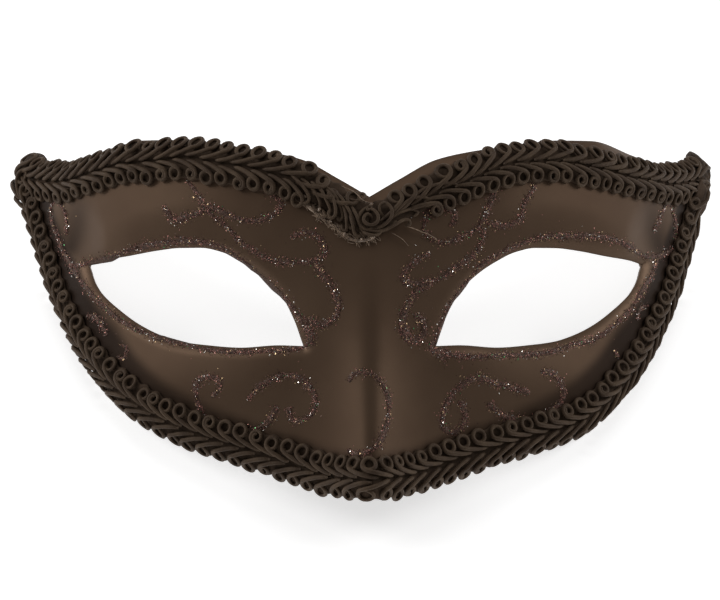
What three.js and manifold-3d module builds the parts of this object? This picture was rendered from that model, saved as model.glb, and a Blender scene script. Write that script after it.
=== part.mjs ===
// A masquerade half mask: one moulded shell that wraps the eyes and the bridge of the nose, with two slanting
// eye openings, and three lengths of looped gimp braid glued round its rim. It lies face up, as it rests by
// itself, on its two side tips and its two cheeks.
//
// The shell is drawn as a bent sheet with a low relief on it. Seen from the front, "across" runs from the
// centre line to a side tip and "up" from the eye line to the brow. "along" is across unrolled, measured on
// the sheet. In the mask's own frame +X is across, -Y is the way that the face looks and +Z is up.

import * as THREE from "three";
import { mergeVertices } from "three/addons/utils/BufferGeometryUtils.js";
import Module from "manifold-3d";

const wasm = await Module();
wasm.setup();

const DEGREE = Math.PI / 180;

// Sizes in millimetres.
const HALF_WIDTH = 93.5; // centre line to the shell's side tip, seen from the front
const BROW_HEIGHT = 41; // eye line to the crest of the brow edge
const CHIN_HEIGHT = 49; // eye line down to the lowest edge, under the nose
const SHELL_WALL = 1.2;

// The sheet: an arc in front, and a flat wing at each side.
const WING_START = 79; // centre line to where the flat wing begins, seen from the front
const WING_ANGLE = 56 * DEGREE; // how far the wing turns back from the face
const FACE_BOW = 260; // radius of the sheet's slight bow from brow to chin

// The eye openings.
const EYE_GAP = 33; // between the two inner corners
const EYE_WIDTH = 57.3; // inner corner to outer corner, seen from the front
const EYE_HEIGHT = 25.2; // lowest point of the lower lid to the highest of the upper one
const EYE_DROP = 12; // eye line down to the lowest point of the lower lid

// The relief.
const NOSE_HEIGHT = 18; // crest of the nose above the sheet, at the lower edge
const NOSE_SPREAD = 10; // how fast the sides of the nose fall away
const NOSE_ROUND = 3; // radius of the crest
const NOSE_RISE = 1.25; // exponent of the crest line: 1 is straight from the brow notch to the chin
const SOCKET_DEPTH = 3.2;
const SOCKET_WIDTH = 68;
const SOCKET_HEIGHT = 50;
const DENT_DEPTH = 1.7; // the hollow at the temple, above the eye's outer corner
const DENT_WIDTH = 17;
const DENT_HEIGHT = 25;
const DENT_OUT = 1.5; // the hollow's centre, out from the eye's outer corner
const DENT_UP = 6; // and up from it
const RIM_ROLL_WIDTH = 5.5; // the rim of the shell turns back over this width
const RIM_ROLL_DEPTH = 2.6;
const LID_ROLL_WIDTH = 3; // and so does the edge of each eye opening
const LID_ROLL_DEPTH = 1.1;

// The braid.
const BRAID_WIDTH = 11;
const BRAID_HEIGHT = 2.6; // over the loops
const BRAID_TAPE = 1.1; // thickness at the edges and in the groove between the two rows of loops
const LOOP_PITCH = 4.4;
const LOOP_SCALLOP = 0.7; // how far a loop stands out past the dip beside it
const BRAID_OVERHANG = 0.8; // the loops stand out past the shell's edge
const GLUE_GAP = 0.35; // between the braid and the shell, and between two braids
const TIP_FOLD = 2.5; // the left brow braid runs this far past the shell's tip and closes over it
const FLOOR_PRESS = 0.6; // how much of the braid is pressed flat where the mask rests on it

// How finely the surfaces are divided.
const NOSE_COLUMNS = 7;
const EYE_COLUMNS = 15;
const WING_COLUMNS = 8;
const OUTLINE_STEPS = 60;
const STEPS_PER_LOOP = 2;

// The shell's upper edge, from the notch in the middle to the tip. Shares of HALF_WIDTH and BROW_HEIGHT.
const BROW_EDGE = [
  { across: 0, up: 0.632 },
  { across: 0.082, up: 0.737 },
  { across: 0.192, up: 0.863 },
  { across: 0.3, up: 0.918 },
  { across: 0.43, up: 0.96 },
  { across: 0.54, up: 0.996 },
  { across: 0.647, up: 1 },
  { across: 0.767, up: 0.918 },
  { across: 0.852, up: 0.87 },
  { across: 0.918, up: 0.885 },
  { across: 0.973, up: 0.93 },
  { across: 1, up: 0.9 },
];

// The shell's lower edge, from under the nose to the tip. Shares of HALF_WIDTH and CHIN_HEIGHT.
const CHIN_EDGE = [
  { across: 0, up: -1 },
  { across: 0.1, up: -0.983 },
  { across: 0.207, up: -0.927 },
  { across: 0.344, up: -0.853 },
  { across: 0.481, up: -0.78 },
  { across: 0.574, up: -0.714 },
  { across: 0.645, up: -0.633 },
  { across: 0.725, up: -0.49 },
  { across: 0.776, up: -0.375 },
  { across: 0.82, up: -0.249 },
  { across: 0.881, up: -0.02 },
  { across: 0.942, up: 0.29 },
  { across: 0.978, up: 0.49 },
  { across: 1, up: 0.622 },
];

// The two lids, from the inner corner to the outer one. Shares of EYE_WIDTH and EYE_HEIGHT.
const UPPER_LID = [
  { across: 0, up: 0.02 },
  { across: 0.043, up: 0.277 },
  { across: 0.11, up: 0.54 },
  { across: 0.2, up: 0.732 },
  { across: 0.292, up: 0.862 },
  { across: 0.384, up: 0.958 },
  { across: 0.477, up: 1 },
  { across: 0.57, up: 1 },
  { across: 0.678, up: 0.975 },
  { across: 0.808, up: 0.923 },
  { across: 0.94, up: 0.876 },
  { across: 1, up: 0.84 },
];
const LOWER_LID = [
  { across: 0, up: 0.02 },
  { across: 0.11, up: 0.026 },
  { across: 0.292, up: 0 },
  { across: 0.477, up: 0.028 },
  { across: 0.57, up: 0.055 },
  { across: 0.664, up: 0.118 },
  { across: 0.76, up: 0.222 },
  { across: 0.856, up: 0.38 },
  { across: 0.936, up: 0.56 },
  { across: 1, up: 0.84 },
];

// How the hand-glued braids wander in from the shell's edge. Shares of each braid's own length, starting at
// the left tip or, for the upper two, at their outer end, and of BRAID_WIDTH.
const LEFT_BROW_DRIFT = [
  { length: 0, inward: 0 },
  { length: 0.3, inward: 0.02 },
  { length: 0.45, inward: 0.1 },
  { length: 0.62, inward: 0 },
  { length: 0.8, inward: 0.06 },
  { length: 1, inward: 0.2 },
];
const RIGHT_BROW_DRIFT = [
  { length: 0, inward: 0 },
  { length: 0.25, inward: 0.06 },
  { length: 0.42, inward: 0.26 },
  { length: 0.58, inward: 0.06 },
  { length: 0.68, inward: 0 },
  { length: 0.85, inward: 0.26 },
  { length: 1, inward: 0.24 },
];
const CHIN_DRIFT = [
  { length: 0, inward: -0.08 },
  { length: 0.1, inward: -0.12 },
  { length: 0.17, inward: -0.08 },
  { length: 0.24, inward: 0.05 },
  { length: 0.35, inward: 0 },
  { length: 0.66, inward: 0.02 },
  { length: 0.78, inward: -0.1 },
  { length: 0.88, inward: -0.06 },
  { length: 1, inward: 0 },
];

// Where the rows of the shell's surface lie, as shares of the way from the rim to the eye's lid.
const ROWS = [0, 0.055, 0.12, 0.2, 0.36, 0.6, 0.82, 0.94, 1];

const SHELL_COLOUR = 0x4a3a2f;
const BRAID_COLOUR = 0x2e241d;

// A smooth curve through the rows of a table, which never swings past them.
function smooth(rows, key, value, x) {
  const last = rows.length - 1;
  let i = 0;
  while (i < last - 1 && x > rows[i + 1][key]) i += 1;
  const slopes = rows
    .slice(1)
    .map((row, k) => (row[value] - rows[k][value]) / (row[key] - rows[k][key]));
  const tangent = (k) => {
    if (k === 0) return slopes[0];
    if (k === last) return slopes[last - 1];
    const [before, after] = [slopes[k - 1], slopes[k]];
    return before * after > 0 ? (2 * before * after) / (before + after) : 0;
  };
  const span = rows[i + 1][key] - rows[i][key];
  const t = (x - rows[i][key]) / span;
  if (t < 0) return rows[i][value] + tangent(i) * (x - rows[i][key]);
  if (t > 1) return rows[last][value] + tangent(last) * (x - rows[last][key]);
  return (
    (1 + 2 * t) * (1 - t) ** 2 * rows[i][value] +
    t * (1 - t) ** 2 * span * tangent(i) +
    t * t * (3 - 2 * t) * rows[i + 1][value] +
    t * t * (t - 1) * span * tangent(i + 1)
  );
}

const browEdge = (across) =>
  BROW_HEIGHT * smooth(BROW_EDGE, "across", "up", Math.abs(across) / HALF_WIDTH);
const chinEdge = (across) =>
  CHIN_HEIGHT * smooth(CHIN_EDGE, "across", "up", Math.abs(across) / HALF_WIDTH);

const EYE_INNER = EYE_GAP / 2;
const EYE_OUTER = EYE_INNER + EYE_WIDTH;
const lid = (rows, across) =>
  EYE_HEIGHT * smooth(rows, "across", "up", (Math.abs(across) - EYE_INNER) / EYE_WIDTH) -
  EYE_DROP;
const CORNER_UP = lid(UPPER_LID, EYE_OUTER);

// The bent sheet.
const WRAP_RADIUS = WING_START / Math.sin(WING_ANGLE);
const WING_ALONG = WRAP_RADIUS * WING_ANGLE;

function alongOf(across) {
  const out = Math.abs(across);
  const along =
    out <= WING_START
      ? WRAP_RADIUS * Math.asin(out / WRAP_RADIUS)
      : WING_ALONG + (out - WING_START) / Math.cos(WING_ANGLE);
  return Math.sign(across) * along;
}

function acrossOf(along) {
  const a = Math.abs(along);
  const across =
    a <= WING_ALONG
      ? WRAP_RADIUS * Math.sin(a / WRAP_RADIUS)
      : WING_START + (a - WING_ALONG) * Math.cos(WING_ANGLE);
  return Math.sign(along) * across;
}

const TIP_ALONG = alongOf(HALF_WIDTH);

// Evenly spaced shares from 0 to 1.
const shares = (count) => Array.from({ length: count + 1 }, (_, k) => k / count);

// A line on the unrolled sheet, from one side to the other, along one edge function.
const edgeLine = (edge) =>
  shares(2 * OUTLINE_STEPS).map((share) => {
    const along = TIP_ALONG * (2 * share - 1);
    return new THREE.Vector2(along, edge(acrossOf(along)));
  });

// The line round the right eye opening on the unrolled sheet.
const LIDS = [
  ...shares(OUTLINE_STEPS).map((t) => [LOWER_LID, t]),
  ...shares(OUTLINE_STEPS)
    .reverse()
    .map((t) => [UPPER_LID, t]),
].map(([rows, t]) => {
  const across = EYE_INNER + EYE_WIDTH * t;
  return new THREE.Vector2(alongOf(across), lid(rows, across));
});

// The distance from a point on the unrolled sheet to a closed line of points.
function distanceTo(line, point) {
  let nearest = Infinity;
  const side = new THREE.Vector2();
  const toPoint = new THREE.Vector2();
  line.forEach((start, i) => {
    side.subVectors(line[(i + 1) % line.length], start);
    toPoint.subVectors(point, start);
    const t = THREE.MathUtils.clamp(toPoint.dot(side) / (side.lengthSq() || 1), 0, 1);
    nearest = Math.min(nearest, toPoint.addScaledVector(side, -t).length());
  });
  return nearest;
}

const insideEye = ({ x, y }) => {
  const across = Math.abs(acrossOf(x));
  return (
    across > EYE_INNER &&
    across < EYE_OUTER &&
    y > lid(LOWER_LID, across) &&
    y < lid(UPPER_LID, across)
  );
};

// How far a rolled edge turns back at a distance from it. Past the edge, where the distance is negative, it
// goes on straight.
function roll(distance, width, depth) {
  const share = 1 - distance / width;
  return depth * (share > 1 ? 2 * share - 1 : Math.max(0, share) ** 2);
}

// A round hollow of depth 1, which ends softly at its rim.
const hollow = (across, up, width, height) =>
  Math.max(0, 1 - (2 * across / width) ** 2 - (2 * up / height) ** 2) ** 2;

function nose(along, up) {
  const top = browEdge(0);
  const share = THREE.MathUtils.clamp((top - up) / (top + CHIN_HEIGHT), 0, 1.1);
  const fall = (Math.hypot(along, NOSE_ROUND) - NOSE_ROUND) / NOSE_SPREAD;
  return NOSE_HEIGHT * share ** NOSE_RISE * Math.exp(-fall);
}

// How far the rim turns back. The rolls of the brow edge, the chin edge and the tip run into each other.
function rimRoll(along, up) {
  const out = Math.abs(along);
  const across = acrossOf(out);
  const step = 0.5;
  const square = (edge) => {
    const rise = edge(acrossOf(out + step)) - edge(acrossOf(out - step));
    return 1 / Math.hypot(1, rise / (2 * step));
  };
  const distances = [
    (browEdge(across) - up) * square(browEdge),
    (up - chinEdge(across)) * square(chinEdge),
    TIP_ALONG - out,
  ];
  const rolls = distances.map((distance) => roll(distance, RIM_ROLL_WIDTH, RIM_ROLL_DEPTH));
  return rolls.reduce((sum, depth) => sum + depth ** 4, 0) ** (1 / 4);
}

// The height of the moulded face over the bent sheet.
function relief(along, up) {
  const mirrored = new THREE.Vector2(Math.abs(along), up);
  const across = Math.abs(acrossOf(along));
  const eye = distanceTo(LIDS, mirrored) * (insideEye(mirrored) ? -1 : 1);
  const bow = (1 - THREE.MathUtils.smoothstep(across, WING_START / 2, WING_START)) / (2 * FACE_BOW);
  const eyeMiddle = EYE_INNER + EYE_WIDTH / 2;
  return (
    nose(along, up) -
    up * up * bow -
    SOCKET_DEPTH * hollow(across - eyeMiddle, up, SOCKET_WIDTH, SOCKET_HEIGHT) -
    DENT_DEPTH *
      hollow(across - EYE_OUTER - DENT_OUT, up - CORNER_UP - DENT_UP, DENT_WIDTH, DENT_HEIGHT) -
    rimRoll(along, up) -
    roll(eye, LID_ROLL_WIDTH, LID_ROLL_DEPTH)
  );
}

// The point of the face at a place on the unrolled sheet.
function facePoint(along, up) {
  const angle = Math.min(Math.abs(along) / WRAP_RADIUS, WING_ANGLE);
  const past = Math.max(0, Math.abs(along) - WING_ALONG);
  const height = relief(along, up);
  const across =
    (WRAP_RADIUS + height) * Math.sin(angle) + past * Math.cos(WING_ANGLE);
  const back =
    WRAP_RADIUS - (WRAP_RADIUS + height) * Math.cos(angle) + past * Math.sin(WING_ANGLE);
  return new THREE.Vector3(Math.sign(along) * across, back, up);
}

// The same point moved out along the face's normal by lift, or into it if lift is negative.
function liftedPoint(along, up, lift) {
  const point = facePoint(along, up);
  if (lift === 0) return point;
  const step = 0.05;
  const sideways = facePoint(along + step, up).sub(facePoint(along - step, up));
  const upwards = facePoint(along, up + step).sub(facePoint(along, up - step));
  return point.addScaledVector(sideways.cross(upwards).normalize(), lift);
}

// Collects the triangles of one closed body.
class Skin {
  corners = [];

  triangle(a, b, c) {
    for (const p of [a, b, c]) this.corners.push(p.x, p.y, p.z);
  }

  quad(a, b, c, d) {
    this.triangle(a, b, c);
    this.triangle(a, c, d);
  }

  // A strip between two lines of points, facing the side from which first runs left to right under second.
  strip(first, second) {
    for (let i = 0; i + 1 < first.length; i += 1)
      this.quad(first[i], first[i + 1], second[i + 1], second[i]);
  }

  // One surface through rows of points, the first row at the bottom and each running left to right.
  surface(rows) {
    for (let j = 0; j + 1 < rows.length; j += 1) this.strip(rows[j], rows[j + 1]);
  }

  geometry() {
    const soup = new THREE.BufferGeometry();
    soup.setAttribute("position", new THREE.Float32BufferAttribute(this.corners, 3));
    return mergeVertices(soup, 1e-4);
  }
}

const ROOM = 4 * HALF_WIDTH; // larger than the whole mask

// Booleans, by way of manifold-3d.
function solidOf(geometry) {
  return new wasm.Manifold(
    new wasm.Mesh({
      numProp: 3,
      vertProperties: new Float32Array(geometry.getAttribute("position").array),
      triVerts: new Uint32Array(geometry.index.array),
    }),
  );
}

function largestBody(solid) {
  return solid.decompose().reduce((a, b) => (b.volume() > a.volume() ? b : a));
}

function geometryOf(solid) {
  const { vertProperties, triVerts } = solid.getMesh();
  const geometry = new THREE.BufferGeometry();
  geometry.setAttribute("position", new THREE.Float32BufferAttribute(vertProperties, 3));
  geometry.setIndex(new THREE.BufferAttribute(triVerts, 1));
  return geometry;
}

function cubeSolid(size, centre) {
  const box = new THREE.BoxGeometry(size, size, size);
  box.translate(centre.x, centre.y, centre.z);
  box.deleteAttribute("normal");
  box.deleteAttribute("uv");
  return solidOf(mergeVertices(box, 1e-4));
}

// The places of the shell's columns on one half, from the centre line to the tip, seen from the front.
function halfColumns() {
  const noseColumns = shares(NOSE_COLUMNS).map((t) => EYE_INNER * t ** 1.3);
  const eyeColumns = shares(EYE_COLUMNS).map(
    (t) => EYE_INNER + (EYE_WIDTH * (1 - Math.cos(Math.PI * t))) / 2,
  );
  const wingColumns = shares(WING_COLUMNS).map((t) => EYE_OUTER + (HALF_WIDTH - EYE_OUTER) * t);
  return [...noseColumns, ...eyeColumns.slice(1), ...wingColumns.slice(1)];
}

// The line between the upper and the lower half of the shell, where no eye parts them.
function middleLine(across) {
  if (across <= EYE_INNER) return lid(UPPER_LID, EYE_INNER);
  const tipMiddle = (browEdge(HALF_WIDTH) + chinEdge(HALF_WIDTH)) / 2;
  const share = (across - EYE_OUTER) / (HALF_WIDTH - EYE_OUTER);
  return THREE.MathUtils.lerp(CORNER_UP, tipMiddle, share);
}

function shellGeometry() {
  const half = halfColumns();
  const columns = [...half.slice(1).map((x) => -x).reverse(), ...half];
  const isEye = (across) => Math.abs(across) > EYE_INNER && Math.abs(across) < EYE_OUTER;
  const meeting = (rows) => (across) =>
    isEye(across) ? lid(rows, across) : middleLine(Math.abs(across));
  // Rows of points on the outer or the inner face, from the rim at share 0 to the meeting line at share 1.
  const rowsOf = (edge, meet, lift) =>
    ROWS.map((share) =>
      columns.map((across) => {
        const up = THREE.MathUtils.lerp(edge(across), meet(across), share);
        return liftedPoint(alongOf(across), up, lift);
      }),
    );
  const [lowerOut, lowerIn] = [0, -SHELL_WALL].map((lift) =>
    rowsOf(chinEdge, meeting(LOWER_LID), lift),
  );
  const [upperOut, upperIn] = [0, -SHELL_WALL].map((lift) =>
    rowsOf(browEdge, meeting(UPPER_LID), lift),
  );
  const last = ROWS.length - 1;
  const skin = new Skin();
  skin.surface(lowerOut);
  skin.surface([...upperOut].reverse());
  skin.surface([...lowerIn].reverse());
  skin.surface(upperIn);
  // The walls: the rim below and above, the lids of the eyes, and the two tips.
  skin.strip(lowerIn[0], lowerOut[0]);
  skin.strip(upperOut[0], upperIn[0]);
  columns.slice(1).forEach((across, i) => {
    if (!isEye(across) && !isEye(columns[i])) return;
    const pair = (row) => row.slice(i, i + 2);
    skin.strip(pair(lowerOut[last]), pair(lowerIn[last]));
    skin.strip(pair(upperIn[last]), pair(upperOut[last]));
  });
  for (const [outer, inner] of [
    [lowerOut, lowerIn],
    [[...upperOut].reverse(), [...upperIn].reverse()],
  ]) {
    const side = (rows, column) => rows.map((row) => row[column]);
    skin.strip(side(outer, 0), side(inner, 0));
    skin.strip(side(inner, columns.length - 1), side(outer, columns.length - 1));
  }
  return skin.geometry();
}

// The middle line of a braid: a run of the shell's edge on the unrolled sheet, moved inwards. It can be asked
// for the point at a length along it and a distance inwards from its middle, at a height over the face. Past
// either end it runs on straight.
class Route {
  constructor(edge, inwardSign, drift) {
    this.edge = edge;
    this.sign = inwardSign;
    this.drift = drift;
    this.last = edge.length - 1;
    this.headings = edge.map((_, k) => {
      const [before, after] = [edge[Math.max(k - 1, 0)], edge[Math.min(k + 1, this.last)]];
      return after.clone().sub(before).normalize();
    });
    this.marks = [0];
    const middles = edge.map((_, k) => this.place(k, this.inset(k / this.last)));
    for (let k = 1; k <= this.last; k += 1) {
      const [from, to] = [middles[k - 1], middles[k]].map((p) => facePoint(p.x, p.y));
      this.marks.push(this.marks[k - 1] + from.distanceTo(to));
    }
    this.length = this.marks[this.last];
  }

  inset(share) {
    const wander = smooth(this.drift, "length", "inward", THREE.MathUtils.clamp(share, 0, 1));
    return BRAID_WIDTH * (0.5 + wander) - BRAID_OVERHANG;
  }

  // The point of the sheet a distance inwards from the edge, at a whole or a part number of edge points.
  place(k, inward) {
    const i = THREE.MathUtils.clamp(Math.floor(k), 0, this.last - 1);
    const within = THREE.MathUtils.clamp(k - i, 0, 1);
    const heading = this.headings[i].clone().lerp(this.headings[i + 1], within).normalize();
    const left = new THREE.Vector2(-heading.y, heading.x);
    const point = this.edge[i].clone().addScaledVector(this.edge[i + 1].clone().sub(this.edge[i]), k - i);
    return point.addScaledVector(left, this.sign * inward);
  }

  point(length, inward, lift) {
    let i = 0;
    while (i < this.last - 1 && this.marks[i + 1] < length) i += 1;
    const k = i + (length - this.marks[i]) / (this.marks[i + 1] - this.marks[i]);
    const spot = this.place(k, this.inset(k / this.last) + inward);
    return liftedPoint(spot.x, spot.y, lift);
  }
}

// A length of braid along a route, from one length along it to another. Its section has two rows of loops
// with a groove between them, and it swells at each loop and dips between loops. With grow it is larger all
// round and has no dips, for cutting a clearance.
function braidSolid(route, start, end, grow = 0) {
  const loops = Math.max(2, Math.round((end - start) / LOOP_PITCH));
  const sections = shares(loops * STEPS_PER_LOOP).map((share) => {
    const swell = (1 - Math.cos(2 * Math.PI * share * loops)) / 2;
    const dip = grow > 0 ? 0 : LOOP_SCALLOP * (1 - swell);
    const edge = BRAID_WIDTH / 2 - dip + grow;
    const crown = GLUE_GAP + BRAID_HEIGHT - dip + grow;
    const tape = GLUE_GAP + BRAID_TAPE + grow;
    const inwards = [-1, -0.55, 0, 0.55, 1].map((side) => side * edge);
    const heights = [tape, crown, tape + LOOP_SCALLOP, crown, tape];
    const length = THREE.MathUtils.lerp(start - grow, end + grow, share);
    return {
      under: inwards.map((inward) => route.point(length, inward, GLUE_GAP - grow)),
      over: inwards.map((inward, i) => route.point(length, inward, heights[i])),
    };
  });
  const skin = new Skin();
  const line = (part, i) => sections.map((section) => section[part][i]);
  for (let i = 0; i < 4; i += 1) {
    skin.strip(line("over", i), line("over", i + 1));
    skin.strip(line("under", i + 1), line("under", i));
  }
  skin.strip(line("under", 0), line("over", 0));
  skin.strip(line("over", 4), line("under", 4));
  skin.strip(sections.at(-1).under, sections.at(-1).over);
  skin.strip(sections[0].over, sections[0].under);
  const geometry = skin.geometry();
  return route.sign > 0 ? solidOf(geometry) : solidOf(turnedOver(geometry));
}

// The same surface with its faces turned to the other side.
function turnedOver(geometry) {
  const { array } = geometry.index;
  for (let i = 0; i < array.length; i += 3) [array[i], array[i + 1]] = [array[i + 1], array[i]];
  return geometry;
}

// The braids as solids, each cut clear of the one that it meets. The two on the brow run past the notch and
// are parted there; the one round the chin ends under them, at the tips.
function braidSolids() {
  const brow = edgeLine(browEdge);
  const left = new Route(brow.slice(0, OUTLINE_STEPS + 1), -1, LEFT_BROW_DRIFT);
  const right = new Route(brow.slice(OUTLINE_STEPS).reverse(), 1, RIGHT_BROW_DRIFT);
  const chin = new Route(edgeLine(chinEdge), 1, CHIN_DRIFT);
  const browSolid = (route, grow) =>
    braidSolid(route, route === left ? -TIP_FOLD : 0, route.length + BRAID_WIDTH, grow);
  const sideCube = (side) =>
    cubeSolid(ROOM, new THREE.Vector3((side * (ROOM + GLUE_GAP)) / 2, 0, 0));
  const chinSolid = [left, right].reduce(
    (rest, route) => rest.subtract(browSolid(route, GLUE_GAP)),
    braidSolid(chin, 0, chin.length),
  );
  return {
    brow_braid_left: largestBody(browSolid(left).intersect(sideCube(-1))),
    brow_braid_right: largestBody(browSolid(right).intersect(sideCube(1))),
    chin_braid: largestBody(chinSolid),
  };
}

function pointsOf(geometry) {
  const position = geometry.getAttribute("position");
  return Array.from({ length: position.count }, (_, i) =>
    new THREE.Vector3().fromBufferAttribute(position, i),
  );
}

// The centre of the weight of several closed bodies, all of one density.
function weightCentre(geometries) {
  const centre = new THREE.Vector3();
  let volume = 0;
  for (const geometry of geometries) {
    const points = pointsOf(geometry);
    const { array } = geometry.index;
    for (let i = 0; i < array.length; i += 3) {
      const [a, b, c] = [points[array[i]], points[array[i + 1]], points[array[i + 2]]];
      const part = b.clone().cross(c).dot(a) / 6;
      volume += part;
      centre.addScaledVector(a.clone().add(b).add(c), part / 4);
    }
  }
  return centre.divideScalar(volume);
}

// How the mask turns from upright to lying face up on its two sides: it leans back until its weight is over
// them, and then tips sideways a little until both of them touch.
function restingTurn(geometries) {
  const points = geometries.flatMap(pointsOf);
  const centre = weightCentre(geometries);
  const sides = [points.filter((p) => p.x < 0), points.filter((p) => p.x > 0)];
  const lowestOf = (side, lean) => {
    const height = (p) => p.z * Math.cos(lean) - p.y * Math.sin(lean);
    return side.reduce((a, b) => (height(b) < height(a) ? b : a));
  };
  let [low, high] = [20 * DEGREE, 90 * DEGREE];
  for (let k = 0; k < 40; k += 1) {
    const lean = (low + high) / 2;
    const forward = (p) => p.y * Math.cos(lean) + p.z * Math.sin(lean);
    const [left, right] = sides.map((side) => forward(lowestOf(side, lean)));
    if (left + right > 2 * forward(centre)) high = lean;
    else low = lean;
  }
  const turn = new THREE.Matrix4().makeRotationX(-low);
  const [left, right] = sides.map((side) => lowestOf(side, low).clone().applyMatrix4(turn));
  const tip = Math.atan2(right.z - left.z, right.x - left.x);
  return turn.premultiply(new THREE.Matrix4().makeRotationY(tip));
}

// Lays the pieces down, and presses the braids flat where the mask stands on them. The origin is under the
// middle of the whole.
function laidDown(pieces) {
  const turn = restingTurn(Object.values(pieces));
  const laid = Object.entries(pieces).map(([name, geometry]) => [name, geometry.applyMatrix4(turn)]);
  const floor = Math.min(...laid.flatMap(([, g]) => pointsOf(g)).map((p) => p.z)) + FLOOR_PRESS;
  const ground = cubeSolid(ROOM, new THREE.Vector3(0, 0, floor - ROOM / 2));
  const pressed = laid.map(([name, geometry]) => [
    name,
    name === "shell" ? geometry : geometryOf(largestBody(solidOf(geometry).subtract(ground))),
  ]);
  const extent = new THREE.Box3().setFromPoints(pressed.flatMap(([, g]) => pointsOf(g)));
  const middle = extent.getCenter(new THREE.Vector3());
  return pressed.map(([name, g]) => [name, g.translate(-middle.x, -middle.y, -floor)]);
}

function maskGroup() {
  const pieces = { shell: shellGeometry() };
  for (const [name, solid] of Object.entries(braidSolids())) pieces[name] = geometryOf(solid);
  const mask = new THREE.Group();
  for (const [name, geometry] of laidDown(pieces)) {
    const material =
      name === "shell"
        ? new THREE.MeshStandardMaterial({ color: SHELL_COLOUR, roughness: 0.42, metalness: 0 })
        : new THREE.MeshStandardMaterial({ color: BRAID_COLOUR, roughness: 0.85, metalness: 0 });
    const mesh = new THREE.Mesh(geometry, material);
    mesh.name = name;
    mask.add(mesh);
  }
  return mask;
}

export default maskGroup();
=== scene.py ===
# %% [markdown]
# # A masquerade half mask
#
# The object is a moulded half mask in satin bronze brown. It has scrolls of glitter glue on its face, and a
# dark looped braid glued round its rim. Its plain solids are already packed, and lie as the mask rests by
# itself, face up on its two side tips and its two cheeks. This lesson loads them, and gives each one its
# finished form and surface in the same place.

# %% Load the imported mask
import math

import bmesh
import bpy
import numpy as np
from mathutils import Matrix, Vector


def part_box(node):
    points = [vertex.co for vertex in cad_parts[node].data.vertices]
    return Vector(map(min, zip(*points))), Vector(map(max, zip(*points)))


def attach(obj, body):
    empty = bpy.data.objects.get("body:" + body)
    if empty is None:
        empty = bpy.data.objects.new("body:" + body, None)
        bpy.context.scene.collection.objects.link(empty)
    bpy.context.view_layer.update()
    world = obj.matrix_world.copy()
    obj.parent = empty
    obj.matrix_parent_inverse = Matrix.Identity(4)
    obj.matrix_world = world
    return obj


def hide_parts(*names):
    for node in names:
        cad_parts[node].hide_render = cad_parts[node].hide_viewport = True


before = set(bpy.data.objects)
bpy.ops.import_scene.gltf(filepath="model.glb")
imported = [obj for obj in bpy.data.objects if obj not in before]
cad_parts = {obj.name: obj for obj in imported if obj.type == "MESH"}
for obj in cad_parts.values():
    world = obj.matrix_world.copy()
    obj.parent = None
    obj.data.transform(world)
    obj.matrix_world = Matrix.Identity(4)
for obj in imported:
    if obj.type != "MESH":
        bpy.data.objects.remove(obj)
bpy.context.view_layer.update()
MM = 0.001

# %% [markdown]
# ## The face as a drawn sheet
#
# The shell is easiest to describe standing upright: x runs across the face, y runs back from it and z runs
# up. It is a sheet that bends in an arc over the face and goes on flat at the temples. A place on the sheet
# has two numbers, like a place on a map: "along", measured on the unrolled sheet from the centre line, and
# "up" from the eye line. Everything that is glued to the face can then be drawn on the map and pressed on.
#
# The edges go through a few listed points, as shares of the mask's own sizes.

# %% Sizes of the mask and its edges
HALF_WIDTH = 93.5 * MM
BROW_HEIGHT = 41 * MM
CHIN_HEIGHT = 49 * MM
SHELL_WALL = 1.2 * MM
WING_START = 79 * MM  # from the centre line to where the flat temples begin
WING_ANGLE = math.radians(56)
EYE_INNER = 16.5 * MM
EYE_WIDTH = 57.3 * MM
EYE_HEIGHT = 25.2 * MM
EYE_DROP = 12 * MM
EYE_OUTER = EYE_INNER + EYE_WIDTH

BROW_EDGE = [
    (0, 0.632), (0.082, 0.737), (0.192, 0.863), (0.3, 0.918), (0.43, 0.96), (0.54, 0.996),
    (0.647, 1), (0.767, 0.918), (0.852, 0.87), (0.918, 0.885), (0.973, 0.93), (1, 0.9),
]
CHIN_EDGE = [
    (0, -1), (0.1, -0.983), (0.207, -0.927), (0.344, -0.853), (0.481, -0.78), (0.574, -0.714),
    (0.645, -0.633), (0.725, -0.49), (0.776, -0.375), (0.82, -0.249), (0.881, -0.02),
    (0.942, 0.29), (0.978, 0.49), (1, 0.622),
]
UPPER_LID = [
    (0, 0.02), (0.043, 0.277), (0.11, 0.54), (0.2, 0.732), (0.292, 0.862), (0.384, 0.958),
    (0.477, 1), (0.57, 1), (0.678, 0.975), (0.808, 0.923), (0.94, 0.876), (1, 0.84),
]
LOWER_LID = [
    (0, 0.02), (0.11, 0.026), (0.292, 0), (0.477, 0.028), (0.57, 0.055), (0.664, 0.118),
    (0.76, 0.222), (0.856, 0.38), (0.936, 0.56), (1, 0.84),
]
print("the mask is", round(2 * HALF_WIDTH / MM), "mm wide")

# %% [markdown]
# Straight lines between the points would show as corners, and a loose curve would swing past them and show as
# waves. So each point gets the slope that lies between those on its two sides. The same curve serves for the
# edges, for the lids of the eyes, and later for how a braid wanders.

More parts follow.
